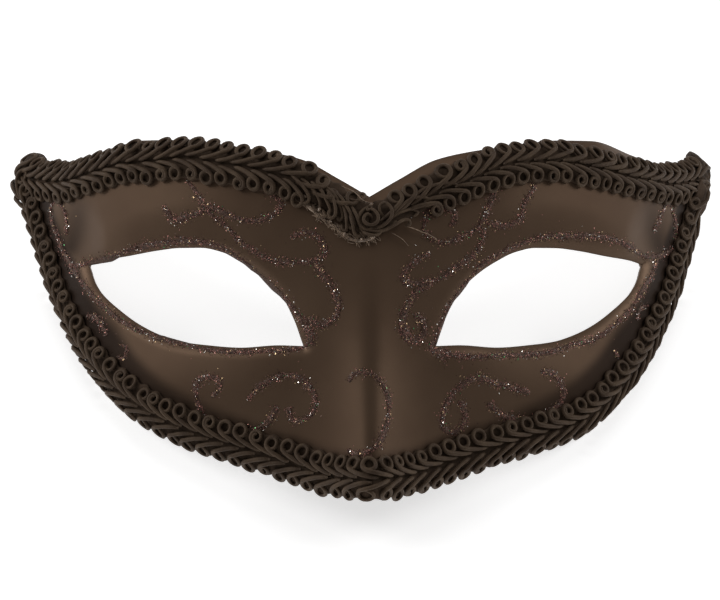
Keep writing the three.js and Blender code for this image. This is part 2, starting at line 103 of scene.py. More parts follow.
# %% Smooth curves through the points
def smooth(rows, x):
    """A curve through rows of (place, value) that never swings past them."""
    places, values = np.array(rows, float).T
    slopes = np.diff(values) / np.diff(places)
    before, after = slopes[:-1], slopes[1:]
    total = np.where(before * after > 0, before + after, 1)
    inner = np.where(before * after > 0, 2 * before * after / total, 0)
    tangents = np.concatenate([slopes[:1], inner, slopes[-1:]])
    x = np.asarray(x, float)
    i = np.clip(np.searchsorted(places, x) - 1, 0, len(places) - 2)
    span = places[i + 1] - places[i]
    t = np.clip((x - places[i]) / span, 0, 1)
    curve = (1 + 2 * t) * (1 - t) ** 2 * values[i] + t * (1 - t) ** 2 * span * tangents[i]
    curve = curve + t * t * (3 - 2 * t) * values[i + 1] + t * t * (t - 1) * span * tangents[i + 1]
    below = np.minimum(x - places[0], 0) * tangents[0]
    beyond = np.maximum(x - places[-1], 0) * tangents[-1]
    return curve + below + beyond


def brow_edge(across):
    return BROW_HEIGHT * smooth(BROW_EDGE, np.abs(across) / HALF_WIDTH)


def chin_edge(across):
    return CHIN_HEIGHT * smooth(CHIN_EDGE, np.abs(across) / HALF_WIDTH)


def lid(rows, across):
    return EYE_HEIGHT * smooth(rows, (np.abs(across) - EYE_INNER) / EYE_WIDTH) - EYE_DROP


print("notch, crest and chin at", [round(float(v) / MM, 1) for v in
      (brow_edge(0), brow_edge(0.6 * HALF_WIDTH), chin_edge(0))], "mm from the eye line")

# %% [markdown]
# A sheet that is bent in an arc is longer than the face is wide. Two short functions go from one measure to
# the other. Others measure how far a place is from an eye opening or from an edge, because there the face
# rolls back and the trim has to stop.

# %% Measures on the sheet
WRAP_RADIUS = WING_START / math.sin(WING_ANGLE)
WING_ALONG = WRAP_RADIUS * WING_ANGLE


def along_of(across):
    out = np.abs(across)
    bent = WRAP_RADIUS * np.arcsin(np.minimum(out, WING_START) / WRAP_RADIUS)
    return np.sign(across) * (bent + np.maximum(out - WING_START, 0) / math.cos(WING_ANGLE))


def across_of(along):
    out = np.abs(along)
    bent = WRAP_RADIUS * np.sin(np.minimum(out, WING_ALONG) / WRAP_RADIUS)
    return np.sign(along) * (bent + np.maximum(out - WING_ALONG, 0) * math.cos(WING_ANGLE))


TIP_ALONG = float(along_of(HALF_WIDTH))
LID_STEPS = np.linspace(0, 1, 61)
LID_LINE = np.vstack([
    np.stack([along_of(EYE_INNER + EYE_WIDTH * t), lid(rows, EYE_INNER + EYE_WIDTH * t)], 1)
    for rows, t in ((LOWER_LID, LID_STEPS), (UPPER_LID, LID_STEPS[::-1]))
])


def distance_to_lid(along, up):
    """How far a place is from the rim of its eye opening, less than 0 inside the opening."""
    spot = np.stack([np.abs(along), up], -1).reshape(-1, 1, 2)
    side = np.roll(LID_LINE, -1, 0) - LID_LINE
    gone = spot - LID_LINE
    share = np.clip((gone * side).sum(-1) / np.maximum((side ** 2).sum(-1), 1e-18), 0, 1)
    nearest = np.linalg.norm(gone - share[..., None] * side, axis=-1).min(1).reshape(along.shape)
    across = np.abs(across_of(along))
    inside = (across > EYE_INNER) & (across < EYE_OUTER)
    inside &= (up > lid(LOWER_LID, across)) & (up < lid(UPPER_LID, across))
    return np.where(inside, -nearest, nearest)


def above(edge, out, up):
    """How far a place is above an edge, measured square to it."""
    step = 0.5 * MM
    rise = (edge(across_of(out + step)) - edge(across_of(out - step))) / (2 * step)
    return (up - edge(across_of(out))) / np.hypot(1, rise)


print("the unrolled sheet reaches", round(TIP_ALONG / MM, 1), "mm to each side")

# %% [markdown]
# The relief of the face is a sum of plain forms: the nose, a shallow socket round each eye, a dent at each
# temple, and edges that roll back. Each form is one short formula, so it can be changed by one number.
# Sculpting by hand would also do, but no one could say afterwards how high the nose is.

# %% The relief of the face
FACE_BOW = 260 * MM
NOSE_HEIGHT = 18 * MM
NOSE_SPREAD = 10 * MM
NOSE_ROUND = 3 * MM
NOSE_RISE = 1.25
SOCKET = (3.2 * MM, 68 * MM, 50 * MM)  # depth, width and height
DENT = (1.7 * MM, 17 * MM, 25 * MM)
DENT_OUT = 1.5 * MM  # from the eye's outer corner
DENT_UP = 6 * MM
RIM_ROLL = (5.5 * MM, 2.6 * MM)  # width and depth
LID_ROLL = (3 * MM, 1.1 * MM)


def roll(distance, size):
    """How far an edge turns back at a distance from it."""
    width, depth = size
    share = 1 - distance / width
    return depth * np.where(share > 1, 2 * share - 1, np.maximum(0, share) ** 2)


def rim_roll(along, up):
    out = np.abs(along)
    distances = [TIP_ALONG - out, -above(brow_edge, out, up), above(chin_edge, out, up)]
    return sum(roll(distance, RIM_ROLL) ** 4 for distance in distances) ** 0.25


def hollow(across, up, size):
    depth, width, height = size
    return depth * np.maximum(0, 1 - (2 * across / width) ** 2 - (2 * up / height) ** 2) ** 2


def nose(along, up):
    top = brow_edge(0)
    share = np.clip((top - up) / (top + CHIN_HEIGHT), 0, 1.1)
    aside = np.hypot(along, NOSE_ROUND) - NOSE_ROUND
    return NOSE_HEIGHT * share ** NOSE_RISE * np.exp(-aside / NOSE_SPREAD)


def relief(along, up):
    across = np.abs(across_of(along))
    fade = np.clip((across / WING_START - 0.5) * 2, 0, 1)
    bow = (1 - fade * fade * (3 - 2 * fade)) / (2 * FACE_BOW)
    dent_up = up - lid(UPPER_LID, EYE_OUTER) - DENT_UP
    height = nose(along, up) - up * up * bow - hollow(across - EYE_INNER - EYE_WIDTH / 2, up, SOCKET)
    height = height - hollow(across - EYE_OUTER - DENT_OUT, dent_up, DENT)
    return height - rim_roll(along, up) - roll(distance_to_lid(along, up), LID_ROLL)


print("the brow rolls back by", round(float(rim_roll(0, brow_edge(0))) / MM, 1), "mm at its edge")

# %% [markdown]
# A place on the sheet, its relief and the bend together give a point in space. The face has a direction
# square to it at each point, its normal, and everything that is glued on is lifted along that.

# %% Points of the face, and over it
def face_point(along, up):
    angle = np.minimum(np.abs(along) / WRAP_RADIUS, WING_ANGLE)
    past = np.maximum(0, np.abs(along) - WING_ALONG)
    radius = WRAP_RADIUS + relief(along, up)
    across = radius * np.sin(angle) + past * math.cos(WING_ANGLE)
    back = WRAP_RADIUS - radius * np.cos(angle) + past * math.sin(WING_ANGLE)
    return np.stack([np.sign(along) * across, back, up], -1)


def unit(vectors):
    return vectors / np.linalg.norm(vectors, axis=-1, keepdims=True)


def face_normal(along, up):
    step = 0.05 * MM
    sideways = face_point(along + step, up) - face_point(along - step, up)
    upwards = face_point(along, up + step) - face_point(along, up - step)
    return unit(np.cross(sideways, upwards))


def over_face(along, up, lift):
    """The point over a place of the sheet, lifted off the face."""
    return face_point(along, up) + np.asarray(lift)[..., None] * face_normal(along, up)


print("the nose stands", round(float(face_point(np.array(0.0), -CHIN_HEIGHT * 0.9)[1]) / -MM, 1), "mm proud")

# %% [markdown]
# ## The shell
#
# The real shell is one piece of moulded plastic about a millimetre thick. Here it is a fine net of quads
# over the face, in two halves that meet on a middle line and leave the eyes open. A Solidify modifier then
# gives the sheet its wall, as the mould does, and a Bevel softens the cut edges.

# %% Points and faces of the shell
ROW_SHARES = [0, 0.055, 0.12, 0.2, 0.36, 0.6, 0.82, 0.94, 1]  # from the rim to the lid
ROW_SPLIT = 5  # rows of quads between two of those shares
NOSE_COLUMNS, EYE_COLUMNS, WING_COLUMNS = 26, 84, 28

half = np.concatenate([
    EYE_INNER * np.linspace(0, 1, NOSE_COLUMNS + 1) ** 1.3,
    EYE_INNER + EYE_WIDTH * (1 - np.cos(np.pi * np.linspace(0, 1, EYE_COLUMNS + 1)[1:])) / 2,
    EYE_OUTER + (HALF_WIDTH - EYE_OUTER) * np.linspace(0, 1, WING_COLUMNS + 1)[1:],
])
columns = np.concatenate([-half[:0:-1], half])
last_row = len(ROW_SHARES) - 1
rows = np.interp(np.linspace(0, last_row, last_row * ROW_SPLIT + 1), range(last_row + 1), ROW_SHARES)


def middle_line(across):
    """The line on which the upper and the lower half of the shell meet, where no eye parts them."""
    corner = lid(UPPER_LID, EYE_OUTER)
    tip = (brow_edge(HALF_WIDTH) + chin_edge(HALF_WIDTH)) / 2
    share = np.clip((across - EYE_OUTER) / (HALF_WIDTH - EYE_OUTER), 0, 1)
    return np.where(across <= EYE_INNER, lid(UPPER_LID, EYE_INNER), corner + (tip - corner) * share)


def half_shell(edge, lid_rows):
    out = np.abs(columns)
    in_eye = (out > EYE_INNER) & (out < EYE_OUTER)
    meeting = np.where(in_eye, lid(lid_rows, out), middle_line(out))
    up = edge(out) + rows[:, None] * (meeting - edge(out))
    return np.broadcast_to(along_of(columns), up.shape), up


def grid_quads(height, width):
    corner = np.arange(height * width).reshape(height, width)
    quads = np.stack([corner[:-1, :-1], corner[:-1, 1:], corner[1:, 1:], corner[1:, :-1]], -1)
    return quads.reshape(-1, 4)


lower, upper = half_shell(chin_edge, LOWER_LID), half_shell(brow_edge, UPPER_LID)
shell_map = np.concatenate([np.stack(part, -1).reshape(-1, 2) for part in (lower, upper)])
shell_points = face_point(*shell_map.T)
quads = grid_quads(len(rows), len(columns))
shell_faces = np.concatenate([quads, quads[:, ::-1] + len(rows) * len(columns)])
print(len(shell_points), "points on the shell's face")

# %% [markdown]
# ## How the mask lies
#
# The mask isn't shown upright: it leans back as it does on a table, and tips a hair to one side because its
# two tips differ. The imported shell's box says where that leaves it, so the drawn face is turned by the same
# two angles and moved until the two boxes agree.

# %% Lay the face down
LEAN = math.radians(51.782)
TIP = math.radians(0.268)
TURN = np.array(Matrix.Rotation(TIP, 3, "Y") @ Matrix.Rotation(-LEAN, 3, "X"))


def box_middle(points):
    return (points.min(0) + points.max(0)) / 2


inner_points = shell_points - SHELL_WALL * face_normal(*shell_map.T)
turned = np.concatenate([shell_points, inner_points]) @ TURN.T
packed_shell = np.array([tuple(corner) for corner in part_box("shell")])
MOVE = packed_shell.mean(0) - box_middle(turned)
misfit = np.abs(turned.min(0) + MOVE - packed_shell[0]).max() / MM
print("largest misfit to the packed shell in mm:", round(float(misfit), 3))


def laid(points):
    """Points of the upright face, in the place where the mask lies. None of them goes into the floor."""
    lying = points @ TURN.T + MOVE
    lying[..., 2] = np.maximum(lying[..., 2], 0)
    return lying


# %% [markdown]
# Every piece is made the same way: points and faces become a mesh, the mesh becomes an object, and the
# object rides with the mask's one rigid body. One helper does that for all of them. Most of the trim is a
# row of closed rings of points, such as a strip of tape, a bead of glue or a drop. Another helper numbers
# the quads between two rings and closes both ends, because an open end would show the inside.

# %% Helpers that make a piece
def placed(name, data):
    """A new object in the scene."""
    thing = bpy.data.objects.new(name, data)
    bpy.context.collection.objects.link(thing)
    return thing


def make_piece(name, points, faces, finishes, stands_for=()):
    mesh = bpy.data.meshes.new(name)
    mesh.from_pydata(points.tolist(), [], [tuple(face) for face in faces])
    mesh.polygons.foreach_set("use_smooth", [True] * len(mesh.polygons))
    for finish in finishes:
        mesh.materials.append(finish)
    mesh.update()
    piece = placed(name, mesh)
    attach(piece, "root")
    if stands_for:
        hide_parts(*stands_for)
    print(name, "has", len(mesh.vertices), "points and", len(mesh.polygons), "faces")
    return piece


def ringed_faces(rings, first=0, reverse=False):
    """The quads between closed rings of points, and a cap over each end."""
    corner = first + np.arange(rings.shape[0] * rings.shape[1]).reshape(rings.shape[:2])
    turned = np.roll(corner, -1, 1)
    walls = [corner[:-1], corner[1:], turned[1:], turned[:-1]]
    caps = [corner[0], corner[-1][::-1]]
    if reverse:
        walls = walls[:1] + walls[:0:-1]
        caps = [cap[::-1] for cap in caps]
    return [tuple(face) for face in [*np.stack(walls, -1).reshape(-1, 4), *caps]]


# %% [markdown]
# ## Finishes
#
# Each finish starts from the Principled shader, whose plain numbers are set straight on its sockets. Nothing
# real is quite even, so colour, roughness and bump come from noise. It is sized in real lengths, so the
# grain keeps its scale on every piece. Most finishes need no more than that, and one helper makes them from
# a few numbers. Only the paint, the cord and the glitter glue add nodes of their own.

# %% Helpers for finishes
def new_finish(name, **values):
    """A new finish, with values set on its shader."""
    finish = bpy.data.materials.new(name)
    finish.use_nodes = True
    for socket, value in values.items():
        parts_of(finish)[1].inputs[socket.replace("_", " ")].default_value = value
    return finish


def parts_of(finish):
    return finish.node_tree, finish.node_tree.nodes["Principled BSDF"]


def grain(tree, size, detail):
    """Noise from 0 to 1 whose spots are about this size."""
    place = tree.nodes.new("ShaderNodeTexCoord")
    noise = tree.nodes.new("ShaderNodeTexNoise")
    noise.inputs["Scale"].default_value = 1 / size
    noise.inputs["Detail"].default_value = detail
    tree.links.new(place.outputs["Object"], noise.inputs["Vector"])
    return noise.outputs["Fac"]


def between(tree, factor, low, high, start=0.3, end=0.7):
    """A colour that goes from low to high as the factor goes from start to end."""
    ramp = tree.nodes.new("ShaderNodeValToRGB")
    ramp.color_ramp.elements[0].position = start
    ramp.color_ramp.elements[1].position = end
    ramp.color_ramp.elements[0].color = (*low, 1)
    ramp.color_ramp.elements[1].color = (*high, 1)
    tree.links.new(factor, ramp.inputs["Fac"])
    return ramp.outputs["Color"]


def ranged(tree, factor, low, high):
    """A number that goes from low to high with the factor."""
    scale = tree.nodes.new("ShaderNodeMapRange")
    scale.inputs["To Min"].default_value = low
    scale.inputs["To Max"].default_value = high
    tree.links.new(factor, scale.inputs["Value"])
    return scale.outputs["Result"]


def bumped(tree, height, depth, strength, under=None):
    bump = tree.nodes.new("ShaderNodeBump")
    bump.inputs["Distance"].default_value = depth
    bump.inputs["Strength"].default_value = strength
    tree.links.new(height, bump.inputs["Height"])
    if under is not None:
        tree.links.new(under, bump.inputs["Normal"])
    return bump.outputs["Normal"]


def noisy_finish(name, tones, roughness=None, bumps=(), **values):
    """A finish from noise: each row is a size and a detail, then two ends, or a depth and a strength."""
    finish = new_finish(name, **values)
    tree, shader = parts_of(finish)
    tree.links.new(between(tree, grain(tree, *tones[:2]), *tones[2:]), shader.inputs["Base Color"])
    if roughness:
        rough = ranged(tree, grain(tree, *roughness[:2]), *roughness[2:])
        tree.links.new(rough, shader.inputs["Roughness"])
    surface = None
    for size, detail, depth, strength in bumps:
        surface = bumped(tree, grain(tree, size, detail), depth, strength, surface)
    if surface is not None:
        tree.links.new(surface, shader.inputs["Normal"])
    return finish


def fed_by(shader, socket):
    """What a socket of the shader is linked to."""
    return shader.inputs[socket].links[0].from_socket


# %% [markdown]
# The shell is sprayed with a satin paint that has a little bronze powder in it. So it is partly metallic,
# the powder makes it slightly uneven in large soft clouds, and the spray leaves a very fine orange peel.
# Shade is painted into the colour last: a painted shadow of the braid along the side rims, and painted
# shade in the dent at each temple. How much of it lies where is worked out for each point of the net, kept on
# the mesh as an attribute, and read by the finish.

# %% Bronze satin paint and the plain inside
PAINTED_SHADE = "painted_shade"


def bronze_satin():
    finish = noisy_finish(
        "bronze_satin_paint",
        tones=(22 * MM, 3, (0.093, 0.0575, 0.0372), (0.1105, 0.0707, 0.046)),
        roughness=(6 * MM, 4, 0.4, 0.5),
        bumps=[(9 * MM, 1, 0.12 * MM, 0.5), (0.5 * MM, 2, 0.012 * MM, 0.5)],
        Metallic=0.5, Specular_IOR_Level=0.06,
    )
    tree, shader = parts_of(finish)
    shade_attribute = tree.nodes.new("ShaderNodeAttribute")
    shade_attribute.attribute_name = PAINTED_SHADE
    shade_mix = tree.nodes.new("ShaderNodeMix")
    shade_mix.data_type = "RGBA"
    # The colour of the painted shade, mixed in where the attribute says.
    shade_mix.inputs["B"].default_value = (0.018, 0.011, 0.008, 1)
    tree.links.new(shade_attribute.outputs["Fac"], shade_mix.inputs["Factor"])
    tree.links.new(fed_by(shader, "Base Color"), shade_mix.inputs["A"])
    tree.links.new(shade_mix.outputs["Result"], shader.inputs["Base Color"])
    return finish


BRONZE = bronze_satin()
INSIDE = noisy_finish(
    "matt_moulded_inside",
    tones=(12 * MM, 4, (0.042, 0.029, 0.021), (0.058, 0.04, 0.029)),
    roughness=(3 * MM, 3, 0.62, 0.75),
    bumps=[(0.8 * MM, 3, 0.03 * MM, 0.6)],
    Specular_IOR_Level=0.2,
)
print("finishes of the shell:", BRONZE.name, "and", INSIDE.name)

# %% [markdown]
# The painted shade lies in bands along the side rims, thick at the temples and thin at the chin, as a painted
# shadow of the braid, and in a short streak down each dent, as painted shade in its hollow. Each point of the
# net gets a number for it. Then the two halves of the net are joined where they meet, because the wall and the
# soft edge have to see one sheet. The wall could be modelled as a second net, but as a modifier it stays one
# number.

# %% Make the shell
def joined_at_seam(mesh, nearness):
    """Joins the points that two halves of a mesh share."""
    work = bmesh.new()
    work.from_mesh(mesh)
    bmesh.ops.remove_doubles(work, verts=work.verts, dist=nearness)
    work.to_mesh(mesh)
    work.free()


# Painted shadow of the braid along the side rims, and painted shade in a streak down each temple dent.
SHADE_FADE_START = (9.4 * MM, 13.2 * MM)  # from the chin's edge, at the chin and at the temples
SHADE_FADE_RUN = (3 * MM, 4.4 * MM)
SHADE_AT_CHIN, SHADE_GAIN = 0.4, 0.52  # how dark it is at the chin, and how much darker at the temples
DENT_SHADE_TOP, DENT_SHADE_FOOT = np.array([75, 24]) * MM, np.array([78.5, 14]) * MM  # across and up
DENT_SHADE_WIDTH = 3.1 * MM
DENT_SHADE_AT_TOP, DENT_SHADE_GAIN = 0.36, 0.4


def painted_shade(along, up):
    """How much painted shade lies on a place of the face, from 0 to 1."""
    across = np.abs(across_of(along))
    inwards = above(chin_edge, np.abs(along), up)
    aside = np.clip((across / HALF_WIDTH - 0.3) / 0.4, 0, 1)
    start, run = (low + (high - low) * aside for low, high in (SHADE_FADE_START, SHADE_FADE_RUN))
    fade = np.clip((inwards - start) / run, 0, 1)
    rim_shade = (SHADE_AT_CHIN + SHADE_GAIN * aside) * (1 - fade * fade * (3 - 2 * fade))
    spot = np.stack([across, up], -1) - DENT_SHADE_TOP
    streak = DENT_SHADE_FOOT - DENT_SHADE_TOP
    share = np.clip(spot @ streak / (streak ** 2).sum(), 0, 1)
    gone = np.linalg.norm(spot - share[..., None] * streak, axis=-1)
    dent_shade = (DENT_SHADE_AT_TOP + DENT_SHADE_GAIN * share) * np.exp(-(gone / DENT_SHADE_WIDTH) ** 2)
    return np.maximum(rim_shade, dent_shade)


shell = make_piece("mask_shell", laid(shell_points), shell_faces, [BRONZE, INSIDE], ["shell"])
# Each point of the net keeps its share of painted shade.
shade_layer = shell.data.attributes.new(PAINTED_SHADE, "FLOAT", "POINT")
shade_layer.data.foreach_set("value", painted_shade(*shell_map.T))
joined_at_seam(shell.data, 0.01 * MM)
wall = shell.modifiers.new("wall", "SOLIDIFY")
wall.thickness = SHELL_WALL
wall.offset = -1
wall.use_even_offset = True
wall.material_offset = 1
wall.material_offset_rim = 0
soft_edge = shell.modifiers.new("soft_edge", "BEVEL")
soft_edge.width = 0.3 * MM
soft_edge.segments = 2
soft_edge.angle_limit = math.radians(50)
print("the joined shell has", len(shell.data.vertices), "points")

# %% [markdown]
# ## The looped braid
#
# The rim is finished with a scroll gimp braid. It is made of satin-wrapped cord about a millimetre thick,
# laid in loops: each cord starts at the middle of the braid, runs outwards at a slant and curls back on
# itself like the head of a fern. Two mirrored rows of such loops give the herringbone in the middle and the
# row of little rings along each side. They are held by a narrow woven tape, which is glued to the mask.
#
# The braid follows the shell's edge, so a route is worked out once: it turns a length along the braid and a
# distance from the braid's middle into a place on the face.

# %% The route of a braid
BRAID_WIDTH = 11 * MM
LOOP_PITCH = 4.4 * MM
BRAID_OVERHANG = 0.8 * MM  # the loops stand out past the shell's edge
LEFT_BROW_DRIFT = [(0, 0), (0.3, 0.02), (0.45, 0.1), (0.62, 0), (0.8, 0.06), (1, 0.2)]
RIGHT_BROW_DRIFT = [(0, 0), (0.25, 0.06), (0.42, 0.26), (0.58, 0.06), (0.68, 0), (0.85, 0.26), (1, 0.24)]
CHIN_DRIFT = [
    (0, -0.08), (0.1, -0.12), (0.17, -0.08), (0.24, 0.05), (0.35, 0), (0.66, 0.02),
    (0.78, -0.1), (0.88, -0.06), (1, 0),
]


class Route:
    """The middle line of a braid along an edge. The drift says how it wanders in from the edge."""

    def __init__(self, edge, inward, drift):
        self.edge, self.inward, self.drift = edge, inward, drift
        self.last = len(edge) - 1
        around = np.vstack([edge[:1], edge, edge[-1:]])
        self.headings = unit(around[2:] - around[:-2])
        k = np.arange(self.last + 1.0)
        middle = self.spot(k, self.inset(k))
        steps = np.linalg.norm(np.diff(face_point(*middle.T), axis=0), axis=1)
        self.marks = np.concatenate([[0], np.cumsum(steps)])
        self.length = self.marks[-1]

    def inset(self, k):
        share = np.clip(k / self.last, 0, 1)
        return BRAID_WIDTH * (0.5 + smooth(self.drift, share)) - BRAID_OVERHANG

    def spot(self, k, inwards):
        i = np.clip(np.floor(k), 0, self.last - 1).astype(int)
        within = np.clip(k - i, 0, 1)[..., None]
        heading = unit(self.headings[i] * (1 - within) + self.headings[i + 1] * within)
        left = np.stack([-heading[..., 1], heading[..., 0]], -1)
        start = self.edge[i] + (self.edge[i + 1] - self.edge[i]) * (k - i)[..., None]
        return start + left * (self.inward * inwards)[..., None]

    def on_sheet(self, length, inwards):
        """The place on the sheet at a length along the braid and a distance inwards from its middle."""
        i = np.clip(np.searchsorted(self.marks, length) - 1, 0, self.last - 1)
        k = i + (length - self.marks[i]) / (self.marks[i + 1] - self.marks[i])
        spot = self.spot(k, self.inset(k) + inwards)
        return spot[..., 0], spot[..., 1]


MIDDLE = 60  # the edge's point on the centre line, counted from the left tip
sheet_line = np.linspace(-TIP_ALONG, TIP_ALONG, 2 * MIDDLE + 1)
brow_line = np.stack([sheet_line, brow_edge(across_of(sheet_line))], 1)
chin_line = np.stack([sheet_line, chin_edge(across_of(sheet_line))], 1)
LEFT_BROW = Route(brow_line[:MIDDLE + 1], -1, LEFT_BROW_DRIFT)
RIGHT_BROW = Route(brow_line[:MIDDLE - 1:-1], 1, RIGHT_BROW_DRIFT)
CHIN = Route(chin_line, 1, CHIN_DRIFT)
print("braid lengths in mm:", [round(route.length / MM) for route in (LEFT_BROW, RIGHT_BROW, CHIN)])

# %% [markdown]
# One cord is drawn flat, in the braid's own measure: a Bezier stem from the middle line, then a curl that
# turns a little more than once round the ring's middle. Its height says which cord lies on top: the stem
# starts low, climbs over its neighbour, and the end of the curl tucks in underneath.

# %% One fiddlehead of cord
RING_MIDDLE = (4.1 * MM, 3.6 * MM)  # along the braid, and out from its middle
RING_RADIUS = 1.46 * MM
RING_ENTRY = math.radians(-66)
STEM_START, STEM_BEND = (-1.9 * MM, 0.45 * MM), (0.9 * MM, 0.65 * MM)
STEM_PULL = 1.6 * MM  # how far before the ring the stem already heads into it
CORD_RADIUS = 0.52 * MM
STEM_POINTS, CURL_POINTS = 11, 25
LONG_CURL = 1.3  # turns from which a curl ends inside its own ring, not under it


def fiddlehead(turns, end_radius, lean):
    """Points of one cord: along, out and height, for arrays of turns, end radii and leans."""
    turns, end_radius, lean = (np.asarray(v)[:, None] for v in (turns, end_radius, lean))
    ring_along, ring_out = RING_MIDDLE[0] + lean, RING_MIDDLE[1]
    aside, inwards = RING_RADIUS * math.cos(RING_ENTRY), RING_RADIUS * math.sin(RING_ENTRY)
    entry = (ring_along + aside, ring_out + inwards)
    before = (entry[0] + STEM_PULL * math.sin(RING_ENTRY), entry[1] - STEM_PULL * math.cos(RING_ENTRY))
    handles = [STEM_START, STEM_BEND, before, entry]
    t = np.linspace(0, 1, STEM_POINTS)[None, :-1]
    weights = [(1 - t) ** 3, 3 * t * (1 - t) ** 2, 3 * t * t * (1 - t), t ** 3]
    stem = [sum(w * handle[axis] for w, handle in zip(weights, handles)) + 0 * lean for axis in (0, 1)]
    share = np.linspace(0, 1, CURL_POINTS)[None, :]
    angle = RING_ENTRY + 2 * math.pi * turns * share
    radius = RING_RADIUS + (end_radius - RING_RADIUS) * share ** 1.5
    curl = [ring_along + radius * np.cos(angle), ring_out + radius * np.sin(angle)]
    stem_height = (1.2 + 0.8 * np.sin(t * math.pi * 0.55)) * MM + 0 * lean
    outwards = (curl[1] - ring_out + RING_RADIUS) / (2 * RING_RADIUS)
    tucked = 0.8 * MM * np.clip(share * 3 - 2, 0, 1) ** 1.2 * (turns < LONG_CURL)
    curl_height = (1.9 - 1.2 * outwards) * MM - tucked
    return [np.concatenate(pair, 1) for pair in zip(stem + [stem_height], curl + [curl_height])]


print("a cord has", STEM_POINTS - 1 + CURL_POINTS, "points")

# %% [markdown]
# A tube is a ring of points carried along a path. Doing this for all cords in one array is hundreds of
# times faster than adding curve objects one by one, and every braid stays one mesh. The tubes also get a
# UV map, in which u runs along the cord, so that the wrapping of the satin thread can be drawn on them.

# %% Helpers for tubes of cord
CORD_SIDES = 8


def tubes(paths, ups, radii, sides=CORD_SIDES):
    """Closed tubes along paths (count, points, 3). Returns points, faces and the UV of each corner."""
    count, length, _ = paths.shape
    tangents = unit(np.gradient(paths, axis=1))
    across = unit(np.cross(tangents, ups))
    ups = np.cross(across, tangents)
    angle = np.linspace(0, 2 * math.pi, sides, endpoint=False)
    ring = across[:, :, None] * np.cos(angle)[:, None] + ups[:, :, None] * np.sin(angle)[:, None]
    points = paths[:, :, None] + ring * np.broadcast_to(radii, (count, length))[..., None, None]
    corner = np.arange(count * length * sides).reshape(count, length, sides)
    turned = np.roll(corner, -1, 2)
    walls = np.stack([corner[:, :-1], corner[:, 1:], turned[:, 1:], turned[:, :-1]], -1)
    walls = walls[..., ::-1].reshape(-1, 4)
    caps = [tuple(end) for end in corner[:, 0]] + [tuple(end[::-1]) for end in corner[:, -1]]
    steps = np.linalg.norm(np.diff(paths, axis=1), axis=2)
    run = np.concatenate([np.zeros((count, 1)), np.cumsum(steps, 1)], 1)
    u = np.broadcast_to(run[:, :, None] / MM, (count, length, sides))
    u = np.stack([u[:, :-1], u[:, 1:], u[:, 1:], u[:, :-1]], -1)
    v = np.broadcast_to(np.arange(sides) / sides, (count, length - 1, sides))
    v = np.stack([v, v, v + 1 / sides, v + 1 / sides], -1)
    wall_uv = np.stack([u, v], -1)[..., ::-1, :].reshape(-1, 2)
    return points.reshape(-1, 3), [tuple(w) for w in walls] + caps, wall_uv


def add_wrapping(piece, wall_uv):
    layer = piece.data.uv_layers.new(name="wrapping")
    corner_uv = np.zeros((len(piece.data.loops), 2))
    corner_uv[:len(wall_uv)] = wall_uv
    layer.data.foreach_set("uv", corner_uv.ravel())


def rounded_ends(length, radius):
    """Radii along a tube, which narrow at both ends."""
    radii = np.full(length, radius)
    radii[[0, -1]] *= 0.5
    radii[[1, -2]] *= 0.92
    return radii


print("a tube of cord has", CORD_SIDES, "sides")


# %% [markdown]
# The satin thread is wrapped round a core, so it shines across the cord in fine close turns. A wave texture
# on the UV map draws the turns as a bump, sheen gives the soft glow of silk at grazing angles, and noise
# makes some cords a little warmer or duller than others, as hand-glued trim is.

# %% Satin cord and woven tape
def satin_cord():
    finish = noisy_finish(
        "satin_wrapped_cord",
        tones=(3.5 * MM, 2, (0.054, 0.034, 0.0215), (0.088, 0.058, 0.036)),
        roughness=(1.2 * MM, 3, 0.46, 0.68),
        bumps=[(0.25 * MM, 3, 0.05 * MM, 0.6)],
        Sheen_Weight=0.04, Sheen_Roughness=0.4, Sheen_Tint=(0.7, 0.5, 0.36, 1), Specular_IOR_Level=0.14,
    )
    tree, shader = parts_of(finish)
    place = tree.nodes.new("ShaderNodeUVMap")
    place.uv_map = "wrapping"
    skew = tree.nodes.new("ShaderNodeMapping")
    skew.inputs["Scale"].default_value = (3.2, 1.0, 1.0)
    tree.links.new(place.outputs["UV"], skew.inputs["Vector"])
    wave = tree.nodes.new("ShaderNodeTexWave")
    wave.wave_type = "BANDS"
    wave.bands_direction = "DIAGONAL"
    wave.inputs["Scale"].default_value = 0.5
    wave.inputs["Distortion"].default_value = 0.4
    tree.links.new(skew.outputs["Vector"], wave.inputs["Vector"])
    turns = bumped(tree, wave.outputs["Fac"], 0.05 * MM, 0.7, fed_by(shader, "Normal"))
    tree.links.new(turns, shader.inputs["Normal"])
    return finish


CORD = satin_cord()
TAPE = noisy_finish(
    "dark_woven_tape",
    tones=(1.5 * MM, 3, (0.046, 0.03, 0.02), (0.07, 0.046, 0.031)),
    bumps=[(0.4 * MM, 3, 0.08 * MM, 0.8)],
    Roughness=0.9, Specular_IOR_Level=0.1,
)
print("finishes of the braid:", CORD.name, "and", TAPE.name)

# %% [markdown]
# The tape holds the loops, and fills the gaps between them with a dark ground. It is a little wider under
# each ring, so that a ring shows dark tape through its middle, and not what lies behind the mask: this wider
# dark backing is painted shade, standing in for the shade that falls inside each ring. It gets narrow
# where the end of a braid was squashed. A flat strip would do for the front, but it would be open behind, so
# the tape is a closed ribbon half a millimetre thick.

# %% The tape under the loops
TAPE_HALF, TAPE_LOW, TAPE_HIGH = 4.75 * MM, 0.05 * MM, 0.6 * MM
# Under each ring the tape is wider, a dark backing that is painted shade for the hollow inside the ring.
RING_SHADE_BACKING = 0.75 * MM  # how much wider the tape is under each ring
TAPE_SHORTER = 1 * MM  # it starts this much after the loops
ROW_SHIFT = 0.12  # of the pitch: how far the loops of the two rows are set apart
SQUASHED_RUN, SQUASHED_SHARE = 7 * MM, 0.45  # how soon and how far a tape narrows at a squashed end
NOTCH_GAP = 0.3 * MM  # between the tapes of the two upper braids


